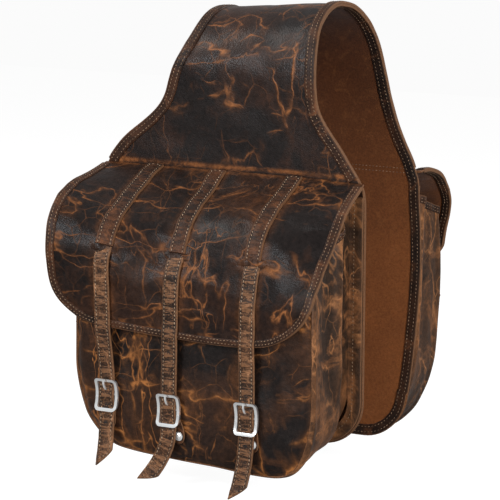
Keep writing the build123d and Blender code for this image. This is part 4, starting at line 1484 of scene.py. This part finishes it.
BEVEL_WIDTHS = {"buckle_%d": 0.0011, "prong_%d": 0.0006, "snap_cap_%d": 0.0002}     # metres


def plate(name):
    """Give a metal piece of the frame its nickel."""
    ob = frame["nodes"][name]
    ob.data.materials.clear()
    ob.data.materials.append(NICKEL)
    return ob


def finish_fittings(half, i):
    for piece, width in BEVEL_WIDTHS.items():
        bevel = plate(half.tag + piece % (i + 1)).modifiers.new("soften", "BEVEL")
        bevel.width = width
        bevel.segments = 3
        bevel.limit_method = "ANGLE"
        bevel.angle_limit = math.radians(40)
        bevel.harden_normals = False


def build_half(side):
    half = Half(side)
    build_flap(half)
    rows = []
    for i in range(3):
        rows += build_upper_strap(half, i)
        build_band(half, i)
    half.on_flap(stitches(half.tag + "flap_stitches", rows, THREAD))
    # needle holes as dark marks of painted shade between the stitches
    half.on_flap(stitches(half.tag + "flap_needle_holes", rows, HOLE_SHADE, **NEEDLE_HOLE))

    build_pouch_panel(half)
    gusset, gusset_normals = build_gusset(half)
    rows = build_mouth_hems(half, gusset, gusset_normals)
    rows += build_sewn_margin(half)
    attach(stitches(half.tag + "pouch_stitches", rows, THREAD_DARK), half.bag)
    # two rows near the top, on the inner face of the back panel
    inner = underside(half.back, BACK_THICK)
    rows = [(inner, columns(np.linspace(-150, 150, 60), up), 0.0) for up in (304.0, 299.0)]
    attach(stitches(half.tag + "inner_stitches", rows, THREAD_DARK), half.bag)

    for i in range(3):
        build_loose_strap(half, i)
        build_chape(half, i)
        finish_fittings(half, i)
    plate(half.tag + "snap_studs")


build_half("front")
build_half("rear")


# ------------------------------------------------------------------ stage, light, camera
def floor_material():
    """A pale sweep: white to the camera with only a soft shadow."""
    material = plain("floor", (0.34, 0.34, 0.34), (0.38, 0.38, 0.38), rough=0.9, scale=3.0,
                     spec=0.05)
    g = Graph(material, clear=False)
    by_type = {node.type: node for node in g.tree.nodes}
    white = g.node("ShaderNodeEmission", {0: (1, 1, 1, 1), 1: 0.95})
    shadow = g.node("ShaderNodeBsdfDiffuse", {0: (0.22, 0.22, 0.22, 1)})
    seen = g.node("ShaderNodeAddShader", {0: white.outputs[0], 1: shadow.outputs[0]})
    rays = g.node("ShaderNodeLightPath")
    switch = g.node("ShaderNodeMixShader", {
        0: rays.outputs["Is Camera Ray"], 1: by_type["BSDF_PRINCIPLED"].outputs[0],
        2: seen.outputs[0]})
    g.feed(by_type["OUTPUT_MATERIAL"], {0: switch.outputs[0]})
    return material


def build_floor(z, reach=6):
    mesh = bpy.data.meshes.new("floor")
    mesh.from_pydata([(-reach, -reach, z), (reach, -reach, z), (reach, reach, z),
                      (-reach, reach, z)], [], [(0, 1, 2, 3)])
    mesh.materials.append(floor_material())
    ob = bpy.data.objects.new("floor", mesh)
    bpy.context.scene.collection.objects.link(ob)
    ob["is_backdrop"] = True


def build_world():
    world = bpy.data.worlds.new("studio")
    bpy.context.scene.world = world
    g = Graph(world)

    def background(colour, strength):
        return g.node("ShaderNodeBackground", {0: (*colour, 1), 1: strength}).outputs[0]

    rays = g.node("ShaderNodeLightPath").outputs
    ambient = background((1, 1, 1), strength=0.07)
    in_metal = background((0.97, 0.985, 1), strength=0.42)
    backdrop = background((1, 1, 1), strength=0.965)
    unseen = g.node("ShaderNodeMixShader", {0: rays["Is Glossy Ray"], 1: ambient, 2: in_metal})
    whole = g.node("ShaderNodeMixShader", {
        0: rays["Is Camera Ray"], 1: unseen.outputs[0], 2: backdrop})
    g.node("ShaderNodeOutputWorld", {0: whole.outputs[0]})


def area_light(name, place, target, size, power, colour=(1, 1, 1), size_y=None):
    light = bpy.data.lights.new(name, "AREA")
    light.energy = power
    light.size = size
    light.color = colour
    if size_y:
        light.shape = "RECTANGLE"
        light.size_y = size_y
    ob = bpy.data.objects.new(name, light)
    bpy.context.scene.collection.objects.link(ob)
    ob.location = place
    ob.rotation_mode = "QUATERNION"
    ob.rotation_quaternion = (Vector(target) - Vector(place)).to_track_quat("-Z", "Y")


def build_camera():
    """Long lens 3 m away, on the front and +X side, a little above and slightly rolled."""
    data = bpy.data.cameras.new("cam")
    camera = bpy.data.objects.new("cam", data)
    bpy.context.scene.collection.objects.link(camera)
    azimuth, elevation, roll = math.radians(26.53), math.radians(7.55), math.radians(1.91)
    target = Vector((-0.01425, 0.0, 0.19729 - CROWN / 1000.0))
    back = Vector((math.sin(azimuth) * math.cos(elevation),
                   -math.cos(azimuth) * math.cos(elevation), math.sin(elevation)))
    ahead = -back
    level = ahead.cross(Vector((0, 0, 1))).normalized()
    upright = level.cross(ahead)
    right = level * math.cos(roll) + upright * math.sin(roll)
    up = upright * math.cos(roll) - level * math.sin(roll)
    place = target + back * 3.0
    camera.matrix_world = Matrix((*zip(right, up, back, place), (0, 0, 0, 1)))
    data.sensor_width = 36.0
    data.lens = 185.40648
    data.clip_start, data.clip_end = 0.05, 50.0
    bpy.context.scene.camera = camera


lo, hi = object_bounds()
build_floor(lo.z - 0.0006)
build_world()
area_light("key", (-2.6, -0.95, 2.2), (0, 0, -0.25), size=1.7, power=70,
           colour=(1.0, 0.98, 0.95))
area_light("fill", (2.4, -1.5, 0.45), (0, 0, -0.28), size=0.6, power=56,
           colour=(0.94, 0.97, 1.0), size_y=1.0)
area_light("front", (0.2, -3.0, -0.1), (0, 0, -0.35), size=1.6, power=20,
           colour=(1.0, 0.99, 0.97))
area_light("top", (0.4, 0.3, 2.2), (0, 0, -0.2), size=1.0, power=14)
area_light("spot", (-0.55, -2.2, 0.80), (0.12, -0.18, -0.27), size=0.34, power=27,
           colour=(0.90, 0.95, 1.0))
area_light("back", (1.4, 2.2, 0.8), (0, 0, -0.2), size=1.2, power=22)
build_camera()
bpy.context.scene.view_settings.view_transform = "Standard"

lo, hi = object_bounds()
